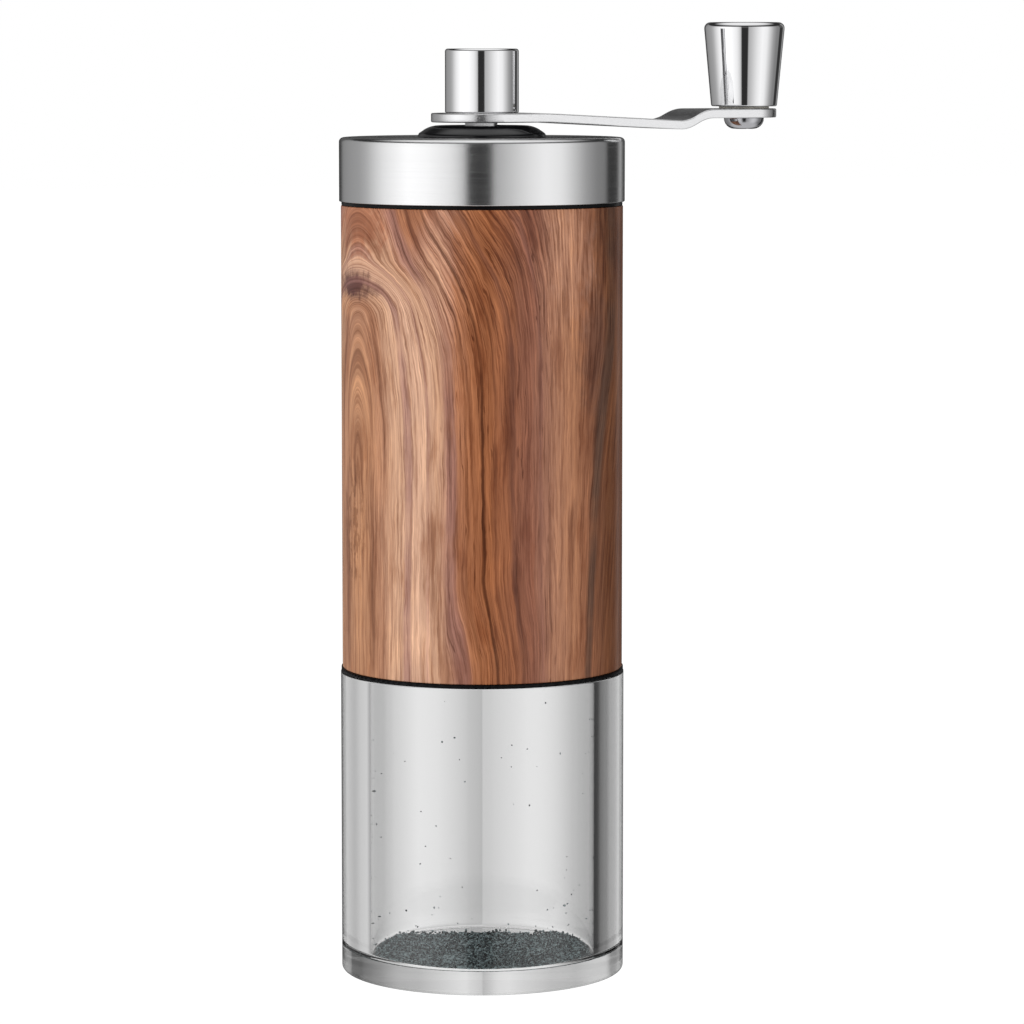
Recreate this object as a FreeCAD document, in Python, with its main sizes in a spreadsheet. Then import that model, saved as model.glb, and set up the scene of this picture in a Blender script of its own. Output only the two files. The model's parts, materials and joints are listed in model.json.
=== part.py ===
import FreeCAD, Part
import math
import os
import re
import Sketcher

# Hand burr coffee grinder: clear powder cup, wood-clad barrel with the burr set inside, push-in
# lid, and a lift-off crank with a turning knob. Millimetres. The origin is the centre of the
# cup's underside, +Z is up, and the crank arm points along +X.

# Driving sizes. Radii unless the name says otherwise; heights and thicknesses along Z.
DIMENSIONS = {
    # clearances
    "seat_gap": 0.05,
    "slip_gap": 0.1,
    "running_gap": 0.3,
    "shaft_gap": 0.05,
    "burr_gap": 0.35,
    # powder cup
    "body_radius": 25.0,
    "cup_height": 53.5,
    "cup_wall": 5.1,
    "cup_floor": 3.4,
    "cup_edge_round": 0.6,
    "cup_floor_round": 1.2,
    "neck_height": 8.0,
    "neck_lead": 0.4,
    "oring_section": 0.6,
    "oring_drop": 4.0,
    "oring_side_gap": 0.1,
    # barrel
    "sleeve_inset": 0.3,
    "sleeve_wall": 0.65,
    "sleeve_height": 81.25,
    "tube_wall": 0.6,
    "trim_thickness": 0.6,
    "trim_inset": 0.1,
    # burr carrier
    "flange_inset": 0.1,
    "flange_thickness": 0.6,
    "skirt_wall": 1.15,
    "skirt_height": 8.75,
    "web_thickness": 2.0,
    "seat_wall": 3.0,
    "lip_thickness": 0.6,
    "lip_width": 2.0,
    # burr set
    "burr_height": 14.0,
    "burr_rim": 3.9,
    "waist_height": 4.0,
    "burr_hang": 2.55,
    "burr_length": 17.7,
    "burr_band": 1.2,
    "burr_low_radius": 11.7,
    "burr_top_radius": 6.6,
    "burr_bore": 4.0,
    "counterbore": 5.2,
    "counterbore_depth": 5.0,
    "tooth_count": 18,
    "tooth_depth": 0.55,
    "groove_bar": 1.65,
    "tooth_skew": 14,
    "flute_count": 6,
    "flute_radius": 2.2,
    "flute_deepening": 5,
    # retaining ring and its screws
    "ring_thickness": 1.4,
    "ring_opening_gap": 0.9,
    "ring_screw_count": 3,
    "ring_screw_head": 1.45,
    "ring_screw_head_height": 0.9,
    "ring_screw_shank": 0.9,
    "ring_screw_length": 6.0,
    # hopper liner
    "liner_wall": 1.5,
    "throat_step": 0.5,
    "throat_clearance": 0.2,
    "funnel_rise": 7.8,
    "funnel_wall": 1.5,
    "lug_depth": 5.2,
    "lug_half_width": 3.5,
    "lug_height": 5.5,
    "lug_bite": 0.3,
    # bridges
    "bridge_ring_wall": 1.45,
    "bar_bite": 0.36,
    "lower_bridge_height": 3.45,
    "lower_bar_half": 3.0,
    "lower_hub": 6.0,
    "hub_drop": 2.55,
    "washer_recess": 1.5,
    "upper_bridge_height": 6.0,
    "upper_bridge_drop": 13.4,
    "upper_bar_half": 3.25,
    "upper_hub": 5.8,
    "bridge_screw_inset": 2.9,
    "bridge_screw_head": 2.3,
    "bridge_screw_head_height": 1.7,
    "bridge_screw_shank": 1.4,
    "bridge_screw_bite": 4.5,
    # bushes
    "bush_wall": 0.95,
    "bush_flange": 5.2,
    "bush_flange_thickness": 0.5,
    "upper_flange_thickness": 1.0,
    # drive shaft
    "shaft_radius": 3.0,
    "flat_half": 2.5,
    "flat_length": 20.0,
    "thread_radius": 2.45,
    "thread_gap": 0.1,
    "thread_length": 8.0,
    "thread_pitch": 0.8,
    "thread_depth": 0.35,
    "thread_start": 0.08,
    "thread_rings": 8,
    "key_clearance": 0.2,
    "pentagon_radius": 3.0,
    "pentagon_length": 11.8,
    "pentagon_start": 0.35,
    "socket_gap": 0.12,
    "clip_groove": 2.5,
    "clip_thickness": 0.7,
    "clip_radius": 5.0,
    "clip_mouth": 1.9,
    # washers, key and spring
    "thrust_washer_radius": 5.5,
    "washer_thickness": 0.5,
    "key_flange": 4.95,
    "key_flange_thickness": 1.2,
    "spring_radius": 4.5,
    "spring_wire": 0.4,
    "spring_turns": 4.2,
    # adjusting nut
    "nut_radius": 9.0,
    "nut_height": 6.0,
    "nut_edge_round": 0.8,
    "scallop_count": 12,
    "scallop_radius": 1.6,
    "scallop_offset": 0.7,
    "insert_wall": 1.45,
    # lid
    "lid_height": 11.15,
    "lid_wall": 0.8,
    "lid_edge_round": 0.8,
    "lid_hole": 8.0,
    "lid_skirt_wall": 1.2,
    "lid_skirt_drop": 5.65,
    "lid_flange_lift": 0.15,
    "lid_flange_thickness": 1.2,
    "lid_disc_thickness": 1.4,
    "seal_section": 0.36,
    "seal_lift": 2.5,
    "seal_gap": 0.09,
    "seal_groove_gap": 0.04,
    "collar_radius": 11.2,
    "collar_height": 2.0,
    "collar_edge": 0.55,
    "collar_crown": 2.2,
    "spigot_drop": 3.75,
    "collar_clip_width": 1.6,
    "collar_clip_bite": 0.6,
    "collar_clip_mouth": 5.6,
    # crank
    "crank_gap": 0.55,
    "arm_thickness": 1.6,
    "arm_length": 52.0,
    "arm_hub_end": 8.9,
    "arm_knob_end": 5.8,
    "arm_drop": 1.48,
    "arm_drop_start": 9.0,
    "jog_start": 37.3,
    "jog_run": 3.8,
    "jog_rise": 2.0,
    "socket_radius": 6.45,
    "socket_height": 11.15,
    "socket_round": 0.5,
    "spigot_radius": 5.0,
    # knob
    "knob_length": 15.0,
    "knob_top_radius": 7.45,
    "knob_low_radius": 5.9,
    "knob_wall": 0.8,
    "knob_round": 1.2,
    "knob_screw_shoulder": 2.4,
    "knob_screw_thread": 1.95,
    "knob_screw_thread_length": 11.0,
    "knob_screw_head": 3.6,
    "knob_screw_head_height": 2.0,
    "knob_screw_round": 0.9,
    "recess_half_width": 0.45,
    "recess_reach": 2.16,
    "recess_depth": 1.0,
    "knob_washer_radius": 4.5,
    "knob_washer_thickness": 0.3,
}

# Sizes and heights that follow from the driving sizes; heights are above the cup's underside.
PLACES = {
    # radii, from the outside in
    "sleeve_outer": "body_radius - sleeve_inset",
    "sleeve_inner": "sleeve_outer - sleeve_wall",
    "tube_outer": "sleeve_inner - seat_gap",
    "tube_inner": "tube_outer - tube_wall",
    "liner_outer": "tube_inner - slip_gap",
    "liner_inner": "liner_outer - liner_wall",
    "skirt_outer": "tube_inner - seat_gap",
    "skirt_inner": "skirt_outer - skirt_wall",
    "neck_radius": "skirt_inner - running_gap",
    "cavity_radius": "body_radius - cup_wall",
    "seat_outer": "cavity_radius - running_gap",
    "seat_inner": "seat_outer - seat_wall",
    "burr_outer": "seat_inner - slip_gap",
    "lip_inner": "burr_outer - lip_width",
    "throat_radius": "lip_inner - throat_step",
    "lid_skirt_outer": "liner_inner - running_gap",
    "lid_skirt_inner": "lid_skirt_outer - lid_skirt_wall",
    "lid_inner": "body_radius - lid_wall",
    "bridge_outer": "liner_inner - seat_gap",
    "bridge_inner": "bridge_outer - bridge_ring_wall",
    "lug_inner": "liner_inner - lug_depth",
    "bridge_screw_place": "liner_inner - bridge_screw_inset",
    "ring_screw_place": "(seat_inner + seat_outer) / 2",
    "bush_bore": "shaft_radius + shaft_gap",
    "bush_outer": "bush_bore + bush_wall",
    "bush_hole": "bush_outer + seat_gap",
    "spigot_outer": "lid_hole - slip_gap",
    "collar_bore": "shaft_radius + running_gap",
    "insert_bore": "thread_radius + thread_gap",
    "insert_outer": "insert_bore + insert_wall",
    "knob_hole": "knob_screw_shoulder + slip_gap",
    "oring_centre": "skirt_inner - slip_gap - oring_section",
    "seal_centre": "liner_inner - seal_gap - seal_section",
    # cone of the inner burr
    "burr_taper": "(burr_low_radius - burr_top_radius) / (burr_length - burr_band)",
    "bore_low": "burr_low_radius - (burr_hang - burr_band) * burr_taper + burr_gap",
    "bore_waist": "bore_low - waist_height * burr_taper",
    "bore_top": "burr_outer - burr_rim",
    # heights, from the cup up
    "oring_height": "cup_height + oring_drop",
    "carrier_base": "cup_height + seat_gap",
    "sleeve_base": "carrier_base + flange_thickness + seat_gap",
    "sleeve_top": "sleeve_base + sleeve_height",
    "web_base": "carrier_base + skirt_height",
    "outer_burr_base": "web_base + seat_gap",
    "seat_top": "outer_burr_base + burr_height + seat_gap + lip_thickness",
    "ring_base": "web_base - seat_gap - ring_thickness",
    "liner_base": "web_base + web_thickness + seat_gap",
    "liner_top": "sleeve_top - seat_gap",
    "throat_base": "seat_top + throat_clearance",
    "funnel_slope": "funnel_rise / (liner_inner - throat_radius)",
    "funnel_top": "throat_base + funnel_rise",
    "lower_bridge_base": "funnel_top + seat_gap",
    "lower_bridge_top": "lower_bridge_base + lower_bridge_height",
    "lower_hub_base": "lower_bridge_base - hub_drop",
    "recess_floor": "lower_bridge_top - washer_recess",
    "thrust_base": "recess_floor + bush_flange_thickness + slip_gap + seat_gap",
    "clip_base": "thrust_base + washer_thickness + seat_gap",
    "upper_bridge_base": "liner_top - upper_bridge_drop",
    "upper_bridge_top": "upper_bridge_base + upper_bridge_height",
    "inner_burr_base": "outer_burr_base - burr_hang",
    "counterbore_floor": "inner_burr_base + burr_length - counterbore_depth",
    "key_base": "inner_burr_base + key_clearance",
    "key_flange_base": "counterbore_floor + seat_gap",
    "spring_seat_base": "key_flange_base + key_flange_thickness + seat_gap",
    "spring_base": "spring_seat_base + washer_thickness + seat_gap",
    "spring_washer_base": "lower_hub_base - slip_gap - washer_thickness",
    "nut_base": "inner_burr_base - slip_gap - nut_height",
    "shaft_base": "inner_burr_base - thread_length",
    "thread_top": "inner_burr_base + key_clearance",
    "trim_base": "sleeve_top + seat_gap",
    "lid_base": "trim_base + trim_thickness + seat_gap",
    "lid_top": "lid_base + lid_height",
    "lid_skirt_base": "lid_base - lid_skirt_drop",
    "lid_disc_top": "lid_top - lid_wall - slip_gap",
    "seal_height": "lid_skirt_base + seal_lift",
    "collar_base": "lid_top + seat_gap",
    "collar_top": "collar_base + collar_height",
    "collar_clip_base": "lid_disc_top - lid_disc_thickness - slip_gap - clip_thickness",
    "pentagon_base": "collar_top - pentagon_start",
    "shaft_tip": "pentagon_base + pentagon_length",
    "arm_base": "collar_top + crank_gap",
    "socket_base": "arm_base + arm_thickness + seat_gap",
    "socket_top": "socket_base + socket_height",
    "arm_end_top": "arm_base + arm_thickness - arm_drop + jog_rise",
    "knob_washer_base": "arm_end_top + seat_gap",
    "knob_base": "knob_washer_base + knob_washer_thickness + seat_gap",
    "knob_screw_base": "arm_end_top - arm_thickness - seat_gap - knob_screw_head_height",
}

TOUCH = 0.001
SHEET_OF = {alias: "dims." for alias in DIMENSIONS} | {alias: "places." for alias in PLACES}

doc = FreeCAD.newDocument("burr_grinder")


def qualified(text):
    """An expression in plain aliases, with the sheet's name put before each alias."""
    return re.sub(r"[a-z][a-z_]*", lambda word: SHEET_OF.get(word.group(), "") + word.group(), text)


def fill_sheet(name, rows):
    """A spreadsheet with one named value per row."""
    sheet = doc.addObject("Spreadsheet::Sheet", name)
    for row, (alias, content) in enumerate(rows.items(), start=1):
        sheet.set(f"A{row}", alias)
        sheet.set(f"B{row}", content)
        sheet.setAlias(f"B{row}", alias)
    doc.recompute()
    return sheet


dims = fill_sheet("dims", {alias: str(size) for alias, size in DIMENSIONS.items()})
places = fill_sheet("places", {alias: "=" + qualified(rule) for alias, rule in PLACES.items()})


def number(text):
    """The present value of an expression in aliases."""
    return float(places.evalExpression(qualified(text)))


def bind(feature, **rules):
    """Binds properties of a feature to expressions; x, y and z set its place."""
    for name, rule in rules.items():
        target = f"Placement.Base.{name}" if name in ("x", "y", "z") else name
        feature.setExpression(target, qualified(rule))
    return feature


def origin_part(body, role):
    return next(item for item in body.Origin.OriginFeatures if item.Role == role)


def hold(sketch, kind, line, rule):
    """Fixes the start of a line at a signed distance from the sketch's origin."""
    distance = number(rule)
    if distance == 0:
        axis = -2 if kind == "DistanceX" else -1
        sketch.addConstraint(Sketcher.Constraint("PointOnObject", line, 1, axis))
    elif distance > 0:
        index = sketch.addConstraint(Sketcher.Constraint(kind, -1, 1, line, 1, distance))
        sketch.setExpression(f"Constraints[{index}]", qualified(rule))
    else:
        index = sketch.addConstraint(Sketcher.Constraint(kind, line, 1, -1, 1, -distance))
        sketch.setExpression(f"Constraints[{index}]", "-(" + qualified(rule) + ")")


def outline(body, name, role, corners):
    """A closed sketch of straight lines on an origin plane, each corner bound to two rules."""
    sketch = body.newObject("Sketcher::SketchObject", name)
    sketch.AttachmentSupport = [(origin_part(body, role), "")]
    sketch.MapMode = "FlatFace"
    points = [FreeCAD.Vector(number(across), number(up), 0) for across, up in corners]
    lines = [Part.LineSegment(a, b) for a, b in zip(points, points[1:] + points[:1])]
    sketch.addGeometry(lines)
    for line, (across, up) in enumerate(corners):
        sketch.addConstraint(Sketcher.Constraint("Coincident", line, 2, (line + 1) % len(corners), 1))
        hold(sketch, "DistanceX", line, across)
        hold(sketch, "DistanceY", line, up)
    return sketch


def new_body(label, base, x="0"):
    """A body whose own zero height stands at the given height of the grinder."""
    body = doc.addObject("PartDesign::Body", label)
    body.Label = label
    bind(body, x=x, z=base)
    return body


def turned(label, base, corners, x="0"):
    """A body turned about its Z axis from an outline of radii and heights above its base."""
    body = new_body(label, base, x)
    feature = body.newObject("PartDesign::Revolution", "turned")
    sketch = outline(body, "profile", "XZ_Plane", corners)
    feature.Profile = sketch
    feature.ReferenceAxis = (sketch, ["V_Axis"])
    feature.Angle = 360
    body.Tip = feature
    doc.recompute()
    return body


def ring(label, base, inner, outer, height, x="0"):
    """A plain tube or washer."""
    return turned(label, base, [(inner, "0"), (outer, "0"), (outer, height), (inner, height)], x)


def primitive(body, kind, name, **rules):
    """An additive or subtractive primitive in a body, bound to rules."""
    feature = bind(body.newObject("PartDesign::" + kind, name), **rules)
    body.Tip = feature
    doc.recompute()
    return feature


def around(body, name, features, count):
    """Repeats features evenly about the body's Z axis."""
    pattern = body.newObject("PartDesign::PolarPattern", name)
    pattern.Originals = features
    pattern.Axis = (origin_part(body, "Z_Axis"), [""])
    pattern.Angle = 360
    bind(pattern, Occurrences=count)
    body.Tip = pattern
    doc.recompute()
    return pattern


def dressed(body, kind, size, *spots):
    """A fillet or chamfer on the circular edges that lie at each (radius, height) of the tip."""
    base = body.Tip
    wanted = [(number(radius), number(height)) for radius, height in spots]
    names = []
    for index, edge in enumerate(base.Shape.Edges, start=1):
        if not isinstance(edge.Curve, Part.Circle):
            continue
        radius, height = edge.Curve.Radius, edge.Curve.Center.z
        if any(abs(radius - r) < TOUCH and abs(height - up) < TOUCH for r, up in wanted):
            names.append(f"Edge{index}")
    if len(names) < len(spots):
        raise ValueError(f"{body.Label}: an edge to dress is missing")
    feature = body.newObject("PartDesign::" + kind, kind.lower())
    feature.Base = (base, names)
    bind(feature, **{"Radius" if kind == "Fillet" else "Size": size})
    body.Tip = feature
    doc.recompute()
    return feature


def torus(label, centre, section, height):
    """A ring of round section."""
    feature = doc.addObject("Part::Torus", label)
    feature.Label = label
    return bind(feature, Radius1=centre, Radius2=section, z=height)


def screw_group(label, base, place, sizes, count, upside_down=False):
    """Slotted screws spread evenly about Z, as separate solids; the base is the head's seat.

    sizes are the head's radius and height, the shank's radius and its length.
    """
    head, head_height, shank, length = sizes
    body = new_body(label, base)
    body.AllowCompound = True
    head_base, shank_base = ("0", f"-({length})")
    slot_base = f"{head_height} / 2"
    if upside_down:
        head_base, shank_base = (f"-({head_height})", "0")
        slot_base = head_base
    parts = [
        primitive(body, "AdditiveCylinder", "head", Radius=head, Height=head_height, x=place, z=head_base),
        primitive(body, "AdditiveCylinder", "shank", Radius=shank, Height=length, x=place, z=shank_base),
        primitive(
            body,
            "SubtractiveBox",
            "slot",
            Length="recess_half_width * 2",
            Width=f"{head} * 4",
            Height=f"{head_height} / 2",
            x=f"{place} - recess_half_width",
            y=f"-{head} * 2",
            z=slot_base,
        ),
    ]
    around(body, "set", parts, count)
    return body


# --- powder cup -------------------------------------------------------------------------------


def powder_cup():
    groove_base = "oring_height - oring_section - oring_side_gap"
    groove_top = "oring_height + oring_section + oring_side_gap"
    groove_radius = "oring_centre - oring_section - seat_gap"
    neck_top = "cup_height + neck_height"
    body = turned(
        "powder_cup",
        "0",
        [
            ("0", "0"),
            ("body_radius", "0"),
            ("body_radius", "cup_height"),
            ("neck_radius", "cup_height"),
            ("neck_radius", groove_base),
            (groove_radius, groove_base),
            (groove_radius, groove_top),
            ("neck_radius", groove_top),
            ("neck_radius", neck_top),
            ("cavity_radius", neck_top),
            ("cavity_radius", "cup_floor"),
            ("0", "cup_floor"),
        ],
    )
    dressed(body, "Fillet", "cup_edge_round", ("body_radius", "0"))
    dressed(body, "Fillet", "cup_floor_round", ("cavity_radius", "cup_floor"))
    dressed(body, "Chamfer", "neck_lead", ("neck_radius", neck_top))


def cup_oring():
    torus("cup_oring", "oring_centre", "oring_section", "oring_height")


# --- barrel -----------------------------------------------------------------------------------


def wood_sleeve():
    ring("wood_sleeve", "sleeve_base", "sleeve_inner", "sleeve_outer", "sleeve_height")


def body_tube():
    ring("body_tube", "sleeve_base", "tube_inner", "tube_outer", "sleeve_height")


def top_trim_ring():
    inner, outer = "liner_inner + seat_gap", "sleeve_outer - trim_inset"
    ring("top_trim_ring", "trim_base", inner, outer, "trim_thickness")


def burr_carrier():
    flange_radius = "body_radius - flange_inset"
    web_top = "skirt_height + web_thickness"
    lip_top = "seat_top - carrier_base"
    lip_base = "seat_top - carrier_base - lip_thickness"
    body = turned(
        "burr_carrier",
        "carrier_base",
        [
            ("skirt_inner", "0"),
            (flange_radius, "0"),
            (flange_radius, "flange_thickness"),
            ("skirt_outer", "flange_thickness"),
            ("skirt_outer", web_top),
            ("seat_outer", web_top),
            ("seat_outer", lip_top),
            ("lip_inner", lip_top),
            ("lip_inner", lip_base),
            ("seat_inner", lip_base),
            ("seat_inner", "skirt_height"),
            ("skirt_inner", "skirt_height"),
        ],
    )
    pilot = primitive(
        body,
        "SubtractiveCylinder",
        "pilot",
        Radius="ring_screw_shank + seat_gap",
        Height="ring_screw_length",
        x="ring_screw_place",
        z="skirt_height - seat_gap",
    )
    around(body, "pilots", [pilot], "ring_screw_count")


def hopper_liner():
    height = "liner_top - liner_base"
    throat = "throat_base - liner_base"
    body = turned(
        "hopper_liner",
        "liner_base",
        [
            ("liner_outer", "0"),
            ("liner_outer", height),
            ("liner_inner", height),
            ("liner_inner", throat + " + funnel_rise"),
            ("throat_radius", throat),
            ("throat_radius + funnel_wall", throat),
            ("liner_inner", throat + " + funnel_rise - funnel_wall * funnel_slope"),
            ("liner_inner", "0"),
        ],
    )
    for name, top in (("lower", "funnel_top"), ("upper", "upper_bridge_base - seat_gap")):
        lug = primitive(
            body,
            "AdditiveBox",
            name + "_lug",
            Length="lug_depth + lug_bite",
            Width="lug_half_width * 2",
            Height="lug_height",
            x="lug_inner",
            y="-lug_half_width",
            z=f"{top} - lug_height - liner_base",
        )
        around(body, name + "_lugs", [lug], "2")
        hole = primitive(
            body,
            "SubtractiveCylinder",
            name + "_hole",
            Radius="bridge_screw_shank + seat_gap",
            Height="bridge_screw_bite + seat_gap",
            x="bridge_screw_place",
            z=f"{top} - bridge_screw_bite - seat_gap - liner_base",
        )
        around(body, name + "_holes", [hole], "2")


# --- bridges and their bushes -----------------------------------------------------------------


def bridge(label, base, height, bar_half, hub, hub_base, hub_height):
    """A ring with one bar across it and a bored hub for the shaft's bush."""
    body = ring(label, base, "bridge_inner", "bridge_outer", height)
    bar_end = "bridge_inner + bar_bite"
    primitive(
        body,
        "AdditiveBox",
        "bar",
        Length=f"({bar_end}) * 2",
        Width=f"{bar_half} * 2",
        Height=height,
        x=f"-({bar_end})",
        y=f"-{bar_half}",
        z="0",
    )
    primitive(body, "AdditiveCylinder", "hub", Radius=hub, Height=hub_height, z=hub_base)
    primitive(
        body,
        "SubtractiveCylinder",
        "bush_hole",
        Radius="bush_hole",
        Height=f"({hub_height}) + ({height})",
        z=hub_base,
    )
    hole = primitive(
        body,
        "SubtractiveCylinder",
        "screw_hole",
        Radius="bridge_screw_shank + slip_gap",
        Height=height,
        x="bridge_screw_place",
        z="0",
    )
    around(body, "screw_holes", [hole], "2")
    return body


def lower_bridge():
    hub_height = "hub_drop + lower_bridge_height - washer_recess"
    body = bridge(
        "lower_bridge",
        "lower_bridge_base",
        "lower_bridge_height",
        "lower_bar_half",
        "lower_hub",
        "-hub_drop",
        hub_height,
    )
    primitive(
        body,
        "SubtractiveCylinder",
        "washer_recess",
        Radius="lower_hub + running_gap",
        Height="washer_recess",
        z="lower_bridge_height - washer_recess",
    )


def upper_bridge():
    bridge(
        "upper_bridge",
        "upper_bridge_base",
        "upper_bridge_height",
        "upper_bar_half",
        "upper_hub",
        "0",
        "upper_bridge_height",
    )


def flanged_bush(label, base, length, flange_thickness):
    """A bush whose flange lies on top of its bridge's hub."""
    turned(
        label,
        base,
        [
            ("bush_bore", "0"),
            ("bush_outer", "0"),
            ("bush_outer", f"{length} + seat_gap"),
            ("bush_flange", f"{length} + seat_gap"),
            ("bush_flange", f"{length} + seat_gap + {flange_thickness}"),
            ("bush_bore", f"{length} + seat_gap + {flange_thickness}"),
        ],
    )


def lower_bush():
    flanged_bush("lower_bush", "lower_hub_base", "recess_floor - lower_hub_base", "bush_flange_thickness")


def upper_bush():
    flanged_bush("upper_bush", "upper_bridge_base", "upper_bridge_height", "upper_flange_thickness")


def bridge_screws():
    """Both pairs of screws that hold the bridges to the liner's lugs."""
    for name, top, height in (
        ("lower", "lower_bridge_top", "lower_bridge_height"),
        ("upper", "upper_bridge_top", "upper_bridge_height"),
    ):
        length = f"{height} + seat_gap + bridge_screw_bite"
        sizes = ("bridge_screw_head", "bridge_screw_head_height", "bridge_screw_shank", length)
        screw_group(f"{name}_bridge_screws", f"{top} + seat_gap", "bridge_screw_place", sizes, "2")


# --- burr set ---------------------------------------------------------------------------------


def along_cone(body, kind, name, start, lean, skew, reach, **sizes):
    """A bar cut whose middle line passes (radius, height) start, leaning and skewed.

    A positive lean tips the upper end outwards; a box is turned to cut corner-first.
    """
    cut = body.newObject("PartDesign::Subtractive" + kind, name)
    for size, value in sizes.items():
        setattr(cut, size, value)
    cut.Height = 2 * reach
    half = sizes.get("Width", 0) / 2
    turn = FreeCAD.Rotation(FreeCAD.Vector(0, 1, 0), lean)
    turn = turn.multiply(FreeCAD.Rotation(FreeCAD.Vector(1, 0, 0), skew))
    turn = turn.multiply(FreeCAD.Rotation(FreeCAD.Vector(0, 0, 1), 45))
    corner = turn.multVec(FreeCAD.Vector(-half, -half, -reach))
    radius, height = start
    cut.Placement = FreeCAD.Placement(FreeCAD.Vector(radius, 0, height) + corner, turn)
    body.Tip = cut
    doc.recompute()
    return cut


def teeth(body, name, radius, height, lean, skew, inwards):
    """V grooves around a cone with the given radius at the given height, cut by a square bar."""
    depth = number("tooth_depth")
    side = number("groove_bar")
    offset = side / 2**0.5 - depth
    centre = radius - offset if inwards else radius + offset
    reach = number("burr_length")
    groove = along_cone(body, "Box", name, (centre, height), lean, skew, reach, Length=side, Width=side)
    around(body, name + "_set", [groove], "tooth_count")


def inner_burr():
    body = turned(
        "inner_burr",
        "inner_burr_base",
        [
            ("burr_bore", "0"),
            ("burr_low_radius", "0"),
            ("burr_low_radius", "burr_band"),
            ("burr_top_radius", "burr_length"),
            ("counterbore", "burr_length"),
            ("counterbore", "burr_length - counterbore_depth"),
            ("burr_bore", "burr_length - counterbore_depth"),
        ],
    )
    lean = -math.degrees(math.atan(number("burr_taper")))
    middle = number("(burr_length + burr_band) / 2")
    middle_radius = number("(burr_low_radius + burr_top_radius) / 2")
    teeth(body, "teeth", middle_radius, middle, lean, number("tooth_skew"), False)
    radius = number("flute_radius")
    start = (middle_radius + radius, middle)
    deepening = number("flute_deepening")
    flute = along_cone(
        body, "Cylinder", "flute", start, lean - deepening, number("tooth_skew"), middle, Radius=radius
    )
    around(body, "flutes", [flute], "flute_count")


def outer_burr():
    body = turned(
        "outer_burr",
        "outer_burr_base",
        [
            ("bore_low", "0"),
            ("burr_outer", "0"),
            ("burr_outer", "burr_height"),
            ("bore_top", "burr_height"),
            ("bore_waist", "waist_height"),
        ],
    )
    waist = number("waist_height")
    lower_lean = -math.degrees(math.atan(number("burr_taper")))
    opening = number("(bore_top - bore_waist) / (burr_height - waist_height)")
    upper_lean = math.degrees(math.atan(opening))
    skew = -number("tooth_skew")
    middle = number("(burr_height + waist_height) / 2")
    middle_radius = number("(bore_top + bore_waist) / 2")
    teeth(body, "fine_teeth", number("(bore_low + bore_waist) / 2"), waist / 2, lower_lean, skew, True)
    teeth(body, "coarse_teeth", middle_radius, middle, upper_lean, skew, True)


def burr_retainer():
    inner = "burr_low_radius + ring_opening_gap"
    body = ring("burr_retainer", "ring_base", inner, "seat_outer - slip_gap", "ring_thickness")
    hole = primitive(
        body,
        "SubtractiveCylinder",
        "screw_hole",
        Radius="ring_screw_shank + slip_gap",
        Height="ring_thickness",
        x="ring_screw_place",
        z="0",
    )
    around(body, "screw_holes", [hole], "ring_screw_count")


def retainer_screws():
    length = "ring_screw_length"
    sizes = ("ring_screw_head", "ring_screw_head_height", "ring_screw_shank", length)
    base = "ring_base - seat_gap"
    screw_group("retainer_screws", base, "ring_screw_place", sizes, "ring_screw_count", upside_down=True)


def double_flat(name, radius, half, length, base):
    """A bar of round section with two flats that face +Y and -Y, to cut a keyed bore."""
    round_bar = bind(doc.addObject("Part::Cylinder", name + "_round"), Radius=radius, Height=length, z=base)
    flat_bar = bind(
        doc.addObject("Part::Box", name + "_flat"),
        Length=f"({radius}) * 2",
        Width=f"({half}) * 2",
        Height=length,
        x=f"-({radius})",
        y=f"-({half})",
        z=base,
    )
    bar = doc.addObject("Part::MultiCommon", name)
    bar.Shapes = [round_bar, flat_bar]
    return bar


def burr_key():
    """Keys the inner burr to the shaft's flats; its flange lies on the counterbore's floor."""
    tube_height = "key_flange_base - key_base"
    flange_top = tube_height + " + key_flange_thickness"
    blank = turned(
        "key_blank",
        "key_base",
        [
            ("0", "0"),
            ("burr_bore - seat_gap", "0"),
            ("burr_bore - seat_gap", tube_height),
            ("key_flange", tube_height),
            ("key_flange", flange_top),
            ("0", flange_top),
        ],
    )
    radius = "shaft_radius + shaft_gap"
    bore = double_flat("key_bore", radius, "flat_half + shaft_gap", flange_top, "key_base")
    key = doc.addObject("Part::Cut", "burr_key")
    key.Label = "burr_key"
    key.Base = blank
    key.Tool = bore
    doc.recompute()


# --- drive shaft ------------------------------------------------------------------------------


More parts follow.
